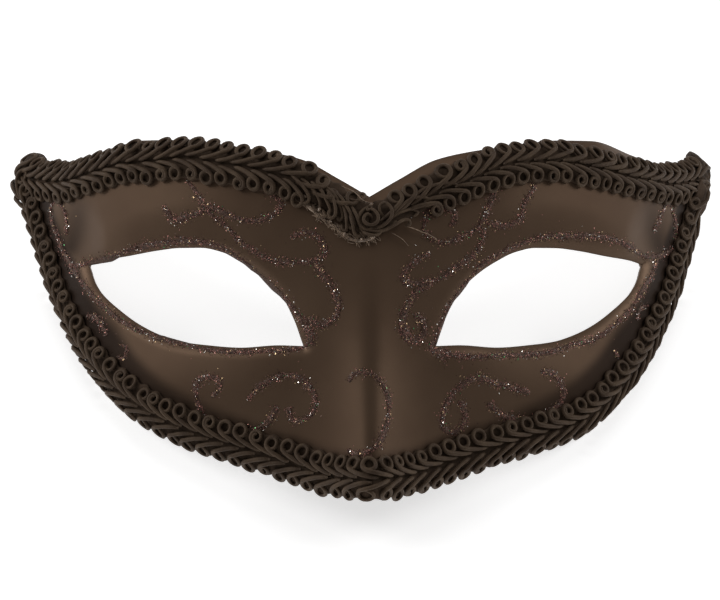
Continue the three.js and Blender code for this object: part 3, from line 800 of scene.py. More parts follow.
def tape_of(route, start, end, heading, lifted, side, squashed_from):
    """The closed strip of tape under the loops, from one length along the route to another."""
    lengths = np.linspace(start, end, int((end - start) / (0.5 * MM)) + 1)
    outs = np.array([-1, -0.9, -0.5, 0, 0.5, 0.9, 1, 0.9, 0, -0.9])
    share = np.array([0.4, 0.9, 1, 0.9, 1, 0.9, 0.4, 0, 0, 0])
    length, out = np.meshgrid(lengths, outs, indexing="ij")
    ring = start - TAPE_SHORTER + LOOP_PITCH / 2 + heading * RING_MIDDLE[0] / 2
    turn = 2 * math.pi * ((length - ring) / LOOP_PITCH - ROW_SHIFT * np.sign(out))
    # Under each ring the tape widens into a dark backing: painted shade inside the ring.
    out = out * (TAPE_HALF + RING_SHADE_BACKING * (0.5 + 0.5 * np.cos(turn)))
    narrowed = np.interp(length, [squashed_from, squashed_from + SQUASHED_RUN], [1, SQUASHED_SHARE])
    out = np.where(out > 0, out * narrowed, out)
    lift = np.broadcast_to(TAPE_LOW + (TAPE_HIGH - TAPE_LOW) * share, length.shape)
    along, up = route.on_sheet(length, out)
    if side:
        along = side * np.maximum(side * along, NOTCH_GAP / 2)
    rings = over_face(along, up, lift + lifted(length))
    faces = ringed_faces(rings)
    if route.inward > 0:
        faces = [face[::-1] for face in faces]
    return rings.reshape(-1, 3), faces


print("the tape is", 2 * TAPE_HALF / MM, "mm wide between the rings")

# %% [markdown]
# The loops are set out in pairs at the real pitch. Each gets its own small errors of place, size and height,
# because a braid with none looks like a stamped pattern. The random numbers start from a fixed seed, so the
# mask comes out the same each time. An array modifier would repeat one pair along a curve much more easily,
# but with every loop the same.

# %% The loops of a braid
chance = np.random.default_rng(11)
MESSY_RUN, MESSY_GAIN = 8 * MM, 5  # how soon and how much the errors grow at a messy end
LOOP_SIZE_ERROR, LOOP_PLACE_ERROR = 0.035, 0.14 * MM
LOOP_WAVE, LOOP_LIFT_ERROR = 0.1 * MM, 0.07 * MM


def loops_of(route, start, end, heading, keep, lifted, messy):
    """The cords of both rows, as paths and normals. keep says which cords stay, by their ring's place."""
    count = int((end - start) / LOOP_PITCH)
    starts = np.repeat(start + LOOP_PITCH * (np.arange(count) + 0.5), 2)
    side = np.tile([1.0, -1.0], count)
    starts = starts + side * ROW_SHIFT * LOOP_PITCH + chance.normal(0, LOOP_PLACE_ERROR, len(side))
    turns = chance.choice([1.12, 1.2, 1.42], len(side), p=[0.4, 0.3, 0.3])
    end_radius = np.where(turns < LONG_CURL, 1.38 * MM, 0.62 * MM) + chance.normal(0, 0.05 * MM, len(side))
    mess = 1 + MESSY_GAIN * np.clip((starts - messy) / MESSY_RUN, 0, 1)
    lean = chance.normal(0, LOOP_PLACE_ERROR, len(side)) * mess
    along, out, height = fiddlehead(turns, end_radius, lean)
    mess = mess[:, None]
    size = 1 + chance.normal(0, LOOP_SIZE_ERROR, mess.shape) * mess
    wave = chance.normal(0, LOOP_WAVE, mess.shape) * mess
    length = starts[:, None] + heading * (along * size - RING_MIDDLE[0] / 2)
    sheet = route.on_sheet(length, side[:, None] * (out * size + wave))
    kept = keep(face_point(*(v[:, -1] for v in sheet)))
    sheet = [v[kept] for v in sheet]
    lift = (height + lifted(length) + chance.normal(0, LOOP_LIFT_ERROR, mess.shape))[kept]
    return over_face(*sheet, lift), face_normal(*sheet)


print("a braid has", round(200 * MM / LOOP_PITCH), "loops in 100 mm")

# %% [markdown]
# Tape and loops become one piece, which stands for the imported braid. It has two finishes, and each face says
# which one it wears. A cord is a little thicker at its stem than at the end of its curl, where it is pulled.

# %% One whole braid
def unlifted(length):
    return 0 * length


def add_braid(name, route, start, end, heading, keep, tape_end, lifted=unlifted, messy=1.0, side=0,
              squashed_from=1.0):
    """A braid from one length along its route to another. Past messy its loops get untidy."""
    paths, ups = loops_of(route, start, end, heading, keep, lifted, messy)
    slimmer = np.interp(np.linspace(0, 1, paths.shape[1]), [0, 0.3, 0.6, 1], [1.1, 1.08, 0.96, 0.92])
    radii = rounded_ends(paths.shape[1], CORD_RADIUS) * slimmer * chance.normal(1, 0.04, (len(paths), 1))
    points, faces, wall_uv = tubes(paths, ups, radii)
    strip = tape_of(route, start + TAPE_SHORTER, tape_end, heading, lifted, side, squashed_from)
    tape_faces = [tuple(k + len(points) for k in face) for face in strip[1]]
    all_points = laid(np.vstack([points, strip[0]]))
    piece = make_piece(name + "_loops", all_points, faces + tape_faces, [CORD, TAPE], [name])
    add_wrapping(piece, wall_uv)
    slots = np.zeros(len(piece.data.polygons), int)
    slots[len(faces):] = 1
    piece.data.polygons.foreach_set("material_index", slots)
    print(name, "has", len(paths), "loops")


# %% [markdown]
# The left braid runs from its tip to the notch, and the right one comes to meet it. The chin braid goes round
# below in one length. The upper two open towards the right side and the chin braid towards the left, as they
# were glued on. The chin braid came last, so at both tips it climbs over the ends of the others. At the notch
# both upper braids were cut and squashed. Their last loops, those of the lower rows first, are left out here
# and are drawn one by one further on.

# %% Make the three braids
OVER_NOTCH, TAPE_OVER_NOTCH = 8 * MM, 5 * MM  # how far the upper braids reach past the centre line
LEFT_ROWS_END = (-16 * MM, -3 * MM)  # across, of the lower and of the upper row
RIGHT_ROWS_END = (14.5 * MM, 3.2 * MM)
LAST_CHIN_LOOP = 87.5 * MM  # across
LEFT_START, RIGHT_START, CHIN_START = 0.6 * MM, 2.6 * MM, 0.2 * MM  # from the tip to the first loop
CHIN_LOOPS_SHORT, CHIN_TAPE_SHORT = 4 * MM, 3.4 * MM  # from the right tip
LEFT_CLIMB = (9 * MM, 5 * MM, 0.9 * MM)  # from the tip: where the climb starts, over what length, how high
RIGHT_CLIMB = (11 * MM, 4 * MM, 1.9 * MM)


def over_tips(length):
    """At both tips the chin braid climbs over the end of a brow braid."""
    lift = 0
    for from_tip, (start, run, height) in ((length, LEFT_CLIMB), (CHIN.length - length, RIGHT_CLIMB)):
        share = np.clip((start - from_tip) / run, 0, 1)
        lift = lift + height * share * share * (3 - 2 * share)
    return lift


def in_lower_row(middle):
    return middle[:, 2] < brow_edge(middle[:, 0]) - BRAID_WIDTH / 2


def left_end_kept(middle):
    """The cut end keeps fewer loops of the lower row. Those that are missing were squashed."""
    return middle[:, 0] < np.where(in_lower_row(middle), *LEFT_ROWS_END)


def right_end_kept(middle):
    """The lower row of the right braid ends early too. Open arcs of cord follow it."""
    return middle[:, 0] > np.where(in_lower_row(middle), *RIGHT_ROWS_END)


def right_tip_kept(middle):
    """The chin braid's last outer loop lies buried in the glue of the right tip."""
    return middle[:, 0] < LAST_CHIN_LOOP


add_braid(
    "brow_braid_left", LEFT_BROW, LEFT_START, LEFT_BROW.length + OVER_NOTCH, 1,
    left_end_kept, LEFT_BROW.length + TAPE_OVER_NOTCH,
    messy=LEFT_BROW.length - 16 * MM, side=-1, squashed_from=LEFT_BROW.length - 20 * MM,
)
add_braid(
    "brow_braid_right", RIGHT_BROW, RIGHT_START, RIGHT_BROW.length + OVER_NOTCH, -1,
    right_end_kept, RIGHT_BROW.length + TAPE_OVER_NOTCH,
    side=1, squashed_from=RIGHT_BROW.length - 19 * MM,
)
add_braid(
    "chin_braid", CHIN, CHIN_START, CHIN.length - CHIN_LOOPS_SHORT, -1,
    right_tip_kept, CHIN.length - CHIN_TAPE_SHORT, lifted=over_tips,
)

# %% [markdown]
# ## The camera
#
# The picture shows the mask straight from the front, as if it hung on a wall. Lying on a table it leans
# back, so the camera looks down at it by the same angle, a hair from one side. Its distance and its lens
# are worked out from how large the mask stands in the picture.

# %% Set up the camera
PICTURE = (720, 600)
PIXELS_PER_METRE = 4.005 / MM  # at the front of the face
CAMERA_DISTANCE = 800 * MM
CAMERA_ASIDE = -2.45 * MM
FACE_YAW = math.radians(-1.4)
SENSOR = 36  # in millimetres, as Blender has it
FOCAL_PIXELS = PIXELS_PER_METRE * CAMERA_DISTANCE

right = np.array([math.cos(FACE_YAW), math.sin(FACE_YAW), 0])
ahead = np.array([-math.sin(FACE_YAW), math.cos(FACE_YAW), 0])
upward = np.array([0, 0, 1])
eye_point = CAMERA_ASIDE * right - CAMERA_DISTANCE * ahead

camera_data = bpy.data.cameras.new("front_camera")
camera_data.sensor_width = SENSOR
camera_data.lens = SENSOR * FOCAL_PIXELS / PICTURE[0]
camera = placed("front_camera", camera_data)
axes = Matrix([tuple(axis) for axis in (TURN @ np.stack([right, upward, -ahead], 1))])
camera.matrix_world = Matrix.Translation(Vector(laid(eye_point))) @ axes.to_4x4()
bpy.context.scene.camera = camera
print("lens", round(camera_data.lens, 1), "mm, camera at", [round(v, 3) for v in camera.location])

# %% [markdown]
# ## Scrolls of glitter glue
#
# The ornament is drawn by hand with a tube of glitter glue: a raised bead of clear glue, two millimetres
# wide, full of tiny foil flakes. It outlines the eyes and runs in loose scrolls over the brow and cheeks.
# The lines are traced as a maker would draw them, on the front view, in pixels of the photograph's frame.
# Each has a width in millimetres and a few points.

# %% The drawn lines
GLITTER_LINES = {
    "left_eye_above": (1.7, [
        (72, 266), (95, 262), (115, 257), (130, 250), (150, 245), (170, 242), (190, 241), (210, 244),
        (228, 252), (245, 263), (262, 277), (285, 299), (300, 318), (308, 332)]),
    "left_eye_below": (1.6, [
        (312, 342), (300, 348), (270, 351), (240, 352), (210, 350), (185, 344), (160, 338), (140, 331),
        (120, 320), (105, 308), (92, 295), (80, 280), (72, 268), (62, 250), (60, 244), (51, 220),
        (52, 203), (58, 201), (64, 210), (67, 225), (66, 235)]),
    "left_brow_stem": (1.5, [(185, 172), (187, 180), (195, 190), (205, 207), (214, 217)]),
    "left_brow_hook": (1.9, [(163, 206), (168, 213), (175, 221), (183, 218), (197, 214), (206, 208)]),
    "left_brow_scroll": (1.7, [
        (205, 206), (212, 208), (228, 215), (240, 219), (255, 221), (268, 217), (281, 208), (280, 200),
        (272, 195), (262, 188)]),
    "left_inner_scroll": (1.7, [
        (214, 218), (228, 228), (240, 242), (250, 248), (262, 255), (275, 261), (293, 262), (315, 261),
        (325, 252), (322, 240), (312, 233), (300, 233), (291, 238)]),
    "left_nose_scroll": (1.9, [
        (315, 264), (325, 277), (333, 288), (338, 300), (338, 313), (330, 322), (318, 324), (308, 318)]),
    "right_brow_scroll": (1.8, [
        (450, 226), (456, 218), (452, 210), (440, 207), (428, 212), (425, 221), (424, 230), (433, 240),
        (445, 243), (458, 238), (470, 233), (480, 225), (489, 207), (497, 185), (505, 174)]),
    "right_brow_hook": (1.7, [
        (530, 180), (534, 187), (528, 197), (523, 208), (522, 218), (512, 224), (500, 226), (486, 222)]),
    "right_inner_scroll": (1.9, [
        (430, 252), (415, 262), (404, 272), (405, 282), (420, 283), (440, 278), (452, 270), (462, 263),
        (474, 255), (480, 245), (485, 228)]),
    "right_nose_scroll": (2.0, [
        (432, 283), (418, 290), (408, 305), (402, 320), (402, 332), (408, 340), (416, 340), (424, 332),
        (422, 320), (414, 315)]),
    "right_eye_above": (1.7, [
        (433, 352), (436, 340), (440, 328), (447, 310), (455, 298), (465, 285), (480, 267), (495, 256),
        (510, 249), (525, 242), (545, 237), (575, 236), (600, 237), (615, 240), (630, 247), (642, 255),
        (655, 257), (672, 250), (676, 235), (675, 218), (671, 205), (667, 203), (663, 210), (658, 222),
        (653, 231)]),
    "right_eye_below": (1.8, [
        (432, 350), (440, 352), (460, 356), (480, 357), (500, 355), (520, 355), (545, 353), (560, 349),
        (575, 344), (590, 341), (603, 334), (615, 325), (625, 315), (632, 308), (640, 295), (650, 278),
        (658, 260)]),
    "left_cheek_inner": (1.8, [
        (212, 397), (220, 388), (219, 380), (208, 377), (199, 380), (195, 390), (198, 402), (201, 412),
        (208, 421), (220, 427), (240, 430), (258, 428), (268, 422), (274, 413), (277, 406)]),
    "left_cheek_outer": (1.8, [
        (247, 400), (255, 391), (265, 383), (280, 376), (290, 375), (303, 380), (312, 390), (316, 400),
        (313, 412), (305, 419), (296, 422), (290, 416), (288, 407)]),
    "left_temple_curl": (1.5, [(86, 317), (93, 316), (99, 321), (103, 328), (107, 335)]),
    "left_cheek_curl": (1.4, [(119, 345), (125, 346), (127, 353), (122, 359), (117, 356)]),
    "nose_curl": (1.7, [
        (349, 382), (352, 375), (362, 372), (372, 374), (380, 381), (387, 393), (389, 405), (388, 420),
        (384, 433), (378, 444), (368, 452), (356, 454), (347, 450)]),
    "right_cheek_inner": (1.9, [
        (530, 393), (510, 387), (495, 383), (480, 378), (465, 383), (455, 392), (447, 402), (443, 415),
        (443, 427), (450, 432), (460, 430), (465, 418), (463, 405), (458, 402)]),
    "right_cheek_outer": (1.9, [
        (541, 372), (552, 373), (560, 382), (564, 393), (562, 402), (555, 408), (545, 414), (530, 419),
        (515, 419), (505, 417), (495, 409), (488, 403)]),
    "right_temple_curl": (1.3, [(637, 320), (640, 310), (648, 305)]),
    "right_cheek_dot": (1.4, [(613, 350), (616, 353), (618, 358)]),
    "left_eye_corner_blob": (3.0, [(303, 318), (308, 326), (311, 336), (310, 345)]),
    "right_eye_corner_blob": (2.6, [(434, 341), (432, 348), (438, 353), (450, 355)]),
    "right_nose_blob": (2.6, [(404, 322), (405, 331), (411, 337)]),
}
print(len(GLITTER_LINES), "lines of glitter glue")

# %% [markdown]
# A pixel says nothing about depth: it stands for a ray from the camera, and the place wanted is where the ray
# meets the face. Blender could cast the ray onto the finished mesh. But the face is a formula here, so a
# guess is shifted by as much as it shows off in the picture, again and again, until it shows right. Between
# the drawn points the line is a Catmull-Rom curve, because such a curve passes through every one of them.

# %% Press a drawn line onto the face
def seen_at(points):
    """Where points of the upright face show in the picture."""
    gone = points - eye_point
    depth = gone @ ahead
    side, rise = gone @ right / depth, gone @ upward / depth
    return np.stack([PICTURE[0] / 2 + FOCAL_PIXELS * side, PICTURE[1] / 2 - FOCAL_PIXELS * rise], -1)


def pressed_on(pixels):
    """The places of the sheet that show at these pixels."""
    along = (pixels[:, 0] - PICTURE[0] / 2) / PIXELS_PER_METRE
    up = (PICTURE[1] / 2 - pixels[:, 1]) / PIXELS_PER_METRE
    for _ in range(24):
        off = (pixels - seen_at(face_point(along, up))) / PIXELS_PER_METRE
        along, up = along + off[:, 0], up - off[:, 1]
    return np.stack([along, up], 1)


def line_through(points, spacing=1.0):
    """A Catmull-Rom curve through points, sampled about every spacing."""
    knots = np.array(points, float)
    knots = np.vstack([2 * knots[0] - knots[1], knots, 2 * knots[-1] - knots[-2]])
    runs = []
    for a, b, c, d in zip(knots, knots[1:], knots[2:], knots[3:]):
        t = np.linspace(0, 1, max(2, int(np.linalg.norm(c - b) / spacing)), endpoint=False)[:, None]
        bend, twist = a - 2.5 * b + 2 * c - d / 2, 1.5 * b - a / 2 - 1.5 * c + d / 2
        runs.append(b + (c - a) * t / 2 + bend * t ** 2 + twist * t ** 3)
    return np.vstack(runs + [knots[-2:-1]])


glitter_paths = {name: pressed_on(line_through(line)) for name, (_, line) in GLITTER_LINES.items()}
drawn = sum(np.linalg.norm(np.diff(path, axis=0), axis=1).sum() for path in glitter_paths.values())
print("glitter drawn in all:", round(drawn / MM), "mm")

# %% [markdown]
# The glue is brown and full of fine dust of foil. A Voronoi texture splits it into tiny cells, each with its
# own tone and height. The foil comes in five colours. Most flakes are dull copper, and only a few are bright,
# because a scroll of nothing but bright flakes would look white.

# %% Finishes of the glue and the foil
def glitter_glue():
    finish = new_finish("glitter_glue", Metallic=0.3, Roughness=0.5, Specular_IOR_Level=0.3)
    tree, shader = parts_of(finish)
    place = tree.nodes.new("ShaderNodeTexCoord")
    cells = tree.nodes.new("ShaderNodeTexVoronoi")
    cells.inputs["Scale"].default_value = 1 / (0.3 * MM)
    tree.links.new(place.outputs["Object"], cells.inputs["Vector"])
    spots = tree.nodes.new("ShaderNodeSeparateColor")
    tree.links.new(cells.outputs["Color"], spots.inputs["Color"])
    colour = between(tree, spots.outputs["Red"], (0.062, 0.035, 0.025), (0.125, 0.072, 0.05), 0.3, 1.0)
    tree.links.new(colour, shader.inputs["Base Color"])
    tree.links.new(bumped(tree, spots.outputs["Green"], 0.12 * MM, 0.8), shader.inputs["Normal"])
    return finish


def foil(name, colour, roughness, metallic=1.0):
    dim = tuple(0.8 * part for part in colour)
    rough = (0.3 * MM, 1, roughness, roughness + 0.15)
    return noisy_finish(name, (0.4 * MM, 1, dim, colour), rough, Metallic=metallic)


GLUE = glitter_glue()
FOILS = [
    (foil("foil_copper_brown", (0.1, 0.05, 0.037), 0.38, 0.5), 0.62),
    (foil("foil_rose", (0.36, 0.16, 0.13), 0.34, 0.7), 0.27),
    (foil("foil_gold", (0.6, 0.42, 0.24), 0.3), 0.06),
    (foil("foil_silver", (0.85, 0.8, 0.74), 0.2), 0.04),
    (foil("foil_green", (0.1, 0.3, 0.12), 0.25), 0.01),
]  # each with its share of the flakes
print("foils:", [finish.name for finish, _ in FOILS])

# %% [markdown]
# The bead is a low dome across the line, and swells and shrinks a little as the tube was squeezed. A curve
# with a round bevel would stand too proud and have a clean edge. So one cross-section with rough points is
# carried along the line, and its foot goes under the face, where no gap can show. All beads are one mesh.

# %% Lay the beads of glue
BEAD_HEIGHT = 0.12 * MM
BEAD_SHARE = 0.66  # of the drawn width: the rest of it is foil that lies beside the bead
FULL_BEAD = 0.6 * MM  # a bead of this half width or more has its whole height
BEAD_ACROSS = np.array([-1, -0.8, -0.4, 0, 0.4, 0.8, 1, 0.6, -0.6])
BEAD_RISE = np.array([0, 0.6, 0.9, 1, 0.9, 0.6, 0, -0.7, -0.7])  # shares of the height, then under the face


def squeezed(count, spread):
    """A slowly changing factor near 1 along a line."""
    knots = chance.normal(1, spread, max(3, count // 9))
    return np.interp(np.linspace(0, len(knots) - 1, count), range(len(knots)), knots)


def tapered(count, least, run):
    """Shares that grow from both ends of a line, up to 1."""
    from_end = np.minimum(np.arange(count), np.arange(count)[::-1])
    return np.sqrt(np.clip((from_end + least) / run, 0, 1))


def bead(path, width):
    count = len(path)
    heading = unit(np.gradient(path, axis=0))
    left = np.stack([-heading[:, 1], heading[:, 0]], 1)
    half = BEAD_SHARE * width * MM / 2 * squeezed(count, 0.22) * tapered(count, 0.6, 4)
    spots = path[:, None] + left[:, None] * (half[:, None] * BEAD_ACROSS)[..., None]
    rough = chance.normal(1, 0.5, (count, len(BEAD_ACROSS)))
    height = BEAD_HEIGHT * BEAD_RISE * np.where(BEAD_RISE > 0, rough, 1)
    return spots, height * np.minimum(1, half / FULL_BEAD)[:, None], half, left


bead_points, bead_faces, laid_beads, filled = [], [], {}, 0
for name, (width, _) in GLITTER_LINES.items():
    spots, lift, half, left = bead(glitter_paths[name], width)
    points = over_face(spots[..., 0], spots[..., 1], lift)
    bead_faces += ringed_faces(points, filled, reverse=True)
    bead_points.append(points.reshape(-1, 3))
    filled += points[..., 0].size
    laid_beads[name] = (half, left)
make_piece("glitter_beads", laid(np.vstack(bead_points)), bead_faces, [GLUE])

# %% [markdown]
# The flakes are real pieces of foil: thousands of small wedges, each tilted its own way, so that a few of
# them catch a lamp from any side and the rest stay dark. That is what makes glitter sparkle. Scattered
# copies of one flake would do it too. A wedge is a triangle with a point below. It is closed, so it has no
# back that could show wrong. A few flakes fell beside the lines, and none over an eye.

# %% Scatter the flakes of foil
FLAKES_PER_SQUARE_MM = 27
FLAKE_REACH = (0.09 * MM, 0.26 * MM)
FLAKE_SPREAD = 1.08  # of the bead's half width
FLAKE_TILT = 0.42
FLAKE_LIFT, STRAY_LIFT = 0.04 * MM, 0.03 * MM
FLAKE_TURN = 2.0944  # a third of a turn, from corner to corner
FLAKE_DEPTH = 0.5  # of its reach
STRAY_COUNT, STRAY_SPREAD = 420, 2.2 * MM
BARE_LID, BARE_LID_STRAYS = 0.35 * MM, 1 * MM  # flakes keep this far from the rim of an eye


def flakes_on(path, half, left):
    """Places on the sheet and lifts for the flakes of one bead."""
    steps = np.linalg.norm(np.diff(path, axis=0), axis=1)
    count = int((steps * 2 * half[1:]).sum() / MM ** 2 * FLAKES_PER_SQUARE_MM)
    k = chance.uniform(0, len(path) - 1.001, count)
    i, share = k.astype(int), (k % 1)[:, None]
    aside = chance.normal(0, FLAKE_SPREAD, count)
    middle = path[i] * (1 - share) + path[i + 1] * share
    spots = middle + left[i] * (half[i] * aside)[:, None]
    rise = np.interp(aside, BEAD_ACROSS[:7], BEAD_RISE[:7])
    return spots, BEAD_HEIGHT * rise + FLAKE_LIFT


def strays():
    """Flakes that fell beside the lines."""
    drawn_places = np.vstack(list(glitter_paths.values()))
    picked = drawn_places[chance.integers(0, len(drawn_places), STRAY_COUNT)]
    spots = picked + chance.normal(0, STRAY_SPREAD, (STRAY_COUNT, 2))
    return spots[distance_to_lid(*spots.T) > BARE_LID_STRAYS]


spots, lifts = zip(*[flakes_on(glitter_paths[name], *laid_beads[name]) for name in GLITTER_LINES])
loose = strays()
spots = np.vstack([*spots, loose])
lifts = np.concatenate([*lifts, np.full(len(loose), STRAY_LIFT)])
on_face = distance_to_lid(*spots.T) > BARE_LID
spots, lifts = spots[on_face], lifts[on_face]
normals = unit(face_normal(*spots.T) + chance.normal(0, FLAKE_TILT, (len(spots), 3)))
centres = over_face(*spots.T, lifts)
aside = unit(np.cross(normals, chance.normal(0, 1, (len(spots), 3))))
beside = np.cross(normals, aside)
reach = chance.uniform(*FLAKE_REACH, len(spots))[:, None]
turns = np.arange(3) * FLAKE_TURN
corners = [centres + reach * (aside * math.cos(turn) + beside * math.sin(turn)) for turn in turns]
flake_points = np.stack(corners + [centres - FLAKE_DEPTH * reach * normals], 1).reshape(-1, 3)
first = 4 * np.arange(len(spots))
flake_faces = np.stack([first[:, None] + face for face in ([0, 1, 2], [1, 0, 3], [2, 1, 3], [0, 2, 3])], 1)
foils = [finish for finish, _ in FOILS]
glitter_flakes = make_piece("glitter_flakes", laid(flake_points), flake_faces.reshape(-1, 3), foils)
kinds = np.repeat(chance.choice(len(FOILS), len(spots), p=[share for _, share in FOILS]), 4)
glitter_flakes.data.polygons.foreach_set("material_index", kinds)
glitter_flakes.data.polygons.foreach_set("use_smooth", [False] * len(kinds))

# %% [markdown]
# ## Where the braids meet
#
# Over the nose the two upper braids end. Both were cut there: the last loops of each are squashed and lie
# as open arcs on both sides of the notch. The left end has frayed into pale core threads with dried glue
# between them, and the right one ends in a loose cord that hooks round a single curl. None of it repeats, so
# these cords are drawn one by one, on the same front view as the glitter, with their height over the face.

# %% Helpers for single cords
def pressed_cord(pixels, lifts, radius, sides=CORD_SIDES):
    """A tube through pixels of the front view, at lifts in mm over the face."""
    path = pressed_on(line_through(pixels, 1.2))
    lift = np.interp(np.linspace(0, 1, len(path)), np.linspace(0, 1, len(lifts)), lifts) * MM
    line, ups = over_face(*path.T, lift), face_normal(*path.T)
    return tubes(line[None], ups[None], rounded_ends(len(path), radius), sides)


def joined(parts):
    """Several (points, faces, uv) as one."""
    points, faces, corner_uv, caps, filled = [], [], [], [], 0
    for part_points, part_faces, part_uv in parts:
        moved = [tuple(k + filled for k in face) for face in part_faces]
        walls = len(part_uv) // 4
        faces += moved[:walls]
        caps += moved[walls:]
        points.append(part_points)
        corner_uv.append(part_uv)
        filled += len(part_points)
    return np.vstack(points), faces + caps, np.vstack(corner_uv)


print("single cords get", CORD_SIDES, "sides too")

# %% [markdown]
# First come the curl, its hook and the cord below them, then the arcs to the left of the notch, and last
# those to the right of it. The arcs lie at three heights in turn, so that where two of them cross, one lies
# over the other.

# %% The squashed loops and the curl
NOTCH_CURL = [
    (367, 213), (373, 213), (377, 217), (377, 223), (373, 227), (368, 227), (364, 223), (365, 218),
    (369, 217), (372, 220),
]
NOTCH_HOOK = [
    (368, 231), (376, 230), (384, 226), (390, 219), (391, 212), (388, 207), (384, 206), (380, 209),
    (380, 214), (383, 218),
]
NOTCH_UNDERCORD = [
    (396, 222), (388, 229), (378, 233), (368, 232), (361, 227), (359, 220), (361, 214), (367, 210),
    (374, 210),
]
SQUASHED_LOOPS = [
    [(322, 187), (330, 192), (337, 200), (341, 209), (343, 217), (340, 221), (337, 217)],
    [(331, 192), (340, 199), (347, 208), (352, 217), (355, 226), (351, 229), (348, 224)],
    [(326, 191), (333, 199), (336, 208), (336, 216), (332, 219), (329, 214), (332, 210)],
    [(340, 201), (345, 211), (347, 221), (347, 231), (343, 230), (342, 225)],
    [(348, 205), (354, 212), (358, 220), (361, 229), (364, 236), (360, 238)],
    [(350, 216), (353, 225), (355, 234), (358, 238), (362, 236)],
    [(343, 199), (352, 203), (359, 204), (364, 200), (361, 196), (356, 198)],
    [(362, 232), (368, 236), (375, 237), (380, 233), (377, 230)],
    [(292, 176), (301, 184), (308, 193), (310, 201), (305, 204), (302, 198)],
    [(301, 179), (311, 187), (318, 196), (321, 206), (317, 211), (313, 205)],
    [(311, 183), (321, 191), (327, 201), (331, 212), (327, 217), (323, 210)],
    [(390, 219), (400, 208), (409, 201), (419, 198), (427, 200), (429, 205), (424, 207)],
    [(381, 227), (391, 219), (401, 213), (411, 210), (417, 213), (413, 217)],
    [(406, 205), (417, 194), (430, 187), (444, 184), (454, 185), (457, 190), (451, 193)],
    [(383, 232), (393, 227), (401, 222), (407, 221), (409, 225), (404, 227)],
]
SQUASHED_RADIUS, CURL_RADIUS = 0.42 * MM, 0.44 * MM
notch_parts = []
for number, pixels in enumerate(SQUASHED_LOOPS):
    low = 0.9 + 0.2 * (number % 3)
    lifts = (low, low + 0.7, low + 0.8, low + 0.3, low - 0.1)
    notch_parts.append(pressed_cord(pixels, lifts, SQUASHED_RADIUS))
for pixels, lifts in (
    (NOTCH_CURL, (1.6, 2.4, 2.7, 2.6, 2.4, 1.9)),
    (NOTCH_HOOK, (1.2, 2.0, 2.4, 2.2, 1.6, 1.1)),
    (NOTCH_UNDERCORD, (1.6, 1.7, 1.7, 1.5, 1.3)),
):
    notch_parts.append(pressed_cord(pixels, lifts, CURL_RADIUS))
points, faces, wall_uv = joined(notch_parts)
notch_curl = make_piece("notch_curl", laid(points), faces, [CORD])
add_wrapping(notch_curl, wall_uv)

# %% [markdown]
# Where the left braid was cut, its satin came off the core. The pale core threads stick out along the cut,
# held by glue that dried in a lumpy ridge and a few drops. The threads are thin tubes with fewer sides, laid
# at random round the drawn edge, mostly along the slant of the braid. A hair system could grow them too, but
# such hair has no closed surface.

# %% Frayed threads
FRAYED_EDGE = [(299, 195), (308, 206), (320, 216), (333, 226), (346, 236), (357, 241), (368, 240), (376, 236)]
THREAD_COUNT, THREAD_POINTS, THREAD_SIDES = 170, 9, 5
THREAD_RADIUS = 0.085 * MM
THREAD_SPREAD = 0.55 * MM  # about the drawn edge
THREAD_REACH = (1.2 * MM, 3.2 * MM)
THREAD_BEARING, THREAD_BEARING_ERROR = -0.72, 0.35  # in radians, from across towards up
THREAD_BEND, THREAD_LIFT = 0.5, 0.12 * MM
STRAY_FIBRES = [
    ([(407, 227), (413, 229), (420, 232), (428, 235), (437, 240)], (0.5, 0.9, 0.8, 0.9, 0.4), 0.13 * MM),
    ([(391, 233), (396, 236), (402, 240), (408, 246)], (0.4, 0.8, 0.7, 0.3), 0.08 * MM),
    ([(340, 190), (352, 197), (362, 206), (374, 209)], (2.0, 2.4, 2.6, 2.2), 0.1 * MM),
]  # pixels, lifts in mm and radius
CORE_THREAD = noisy_finish(
    "pale_core_thread",
    tones=(0.8 * MM, 2, (0.13, 0.085, 0.056), (0.36, 0.255, 0.175)),
    bumps=[(0.1 * MM, 2, 0.02 * MM, 0.5)],
    Roughness=0.55, Specular_IOR_Level=0.4,
)


def frayed_paths():
    edge = pressed_on(line_through(FRAYED_EDGE))
    spot = edge[chance.integers(0, len(edge), THREAD_COUNT)]
    spot = spot + chance.normal(0, THREAD_SPREAD, (THREAD_COUNT, 2))
    run = np.linspace(0, 1, THREAD_POINTS)
    bearing = chance.normal(THREAD_BEARING, THREAD_BEARING_ERROR, (THREAD_COUNT, 1))
    bearing = bearing + chance.normal(0, THREAD_BEND, (THREAD_COUNT, 1)) * run
    reach = chance.uniform(*THREAD_REACH, (THREAD_COUNT, 1))
    along = spot[:, :1] + reach * (run - 0.5) * np.cos(bearing)
    up = spot[:, 1:] + reach * (run - 0.5) * np.sin(bearing)
    lift = chance.uniform(0.1, 0.9, (THREAD_COUNT, 1)) * MM * np.sin(math.pi * (0.15 + 0.75 * run))
    return over_face(along, up, lift + THREAD_LIFT), face_normal(along, up)


paths, ups = frayed_paths()
thread_parts = [tubes(paths, ups, rounded_ends(THREAD_POINTS, THREAD_RADIUS), THREAD_SIDES)]
thread_parts += [pressed_cord(*fibre, THREAD_SIDES) for fibre in STRAY_FIBRES]
points, faces, _ = joined(thread_parts)
make_piece("frayed_threads", laid(points), faces, [CORE_THREAD])

# %% [markdown]
# The glue between the threads dried smooth, so its finish is glossy, with a thin clear coat on top. The ridge
# is a tube that swells and shrinks, and a drop is a dome with a dented outline.

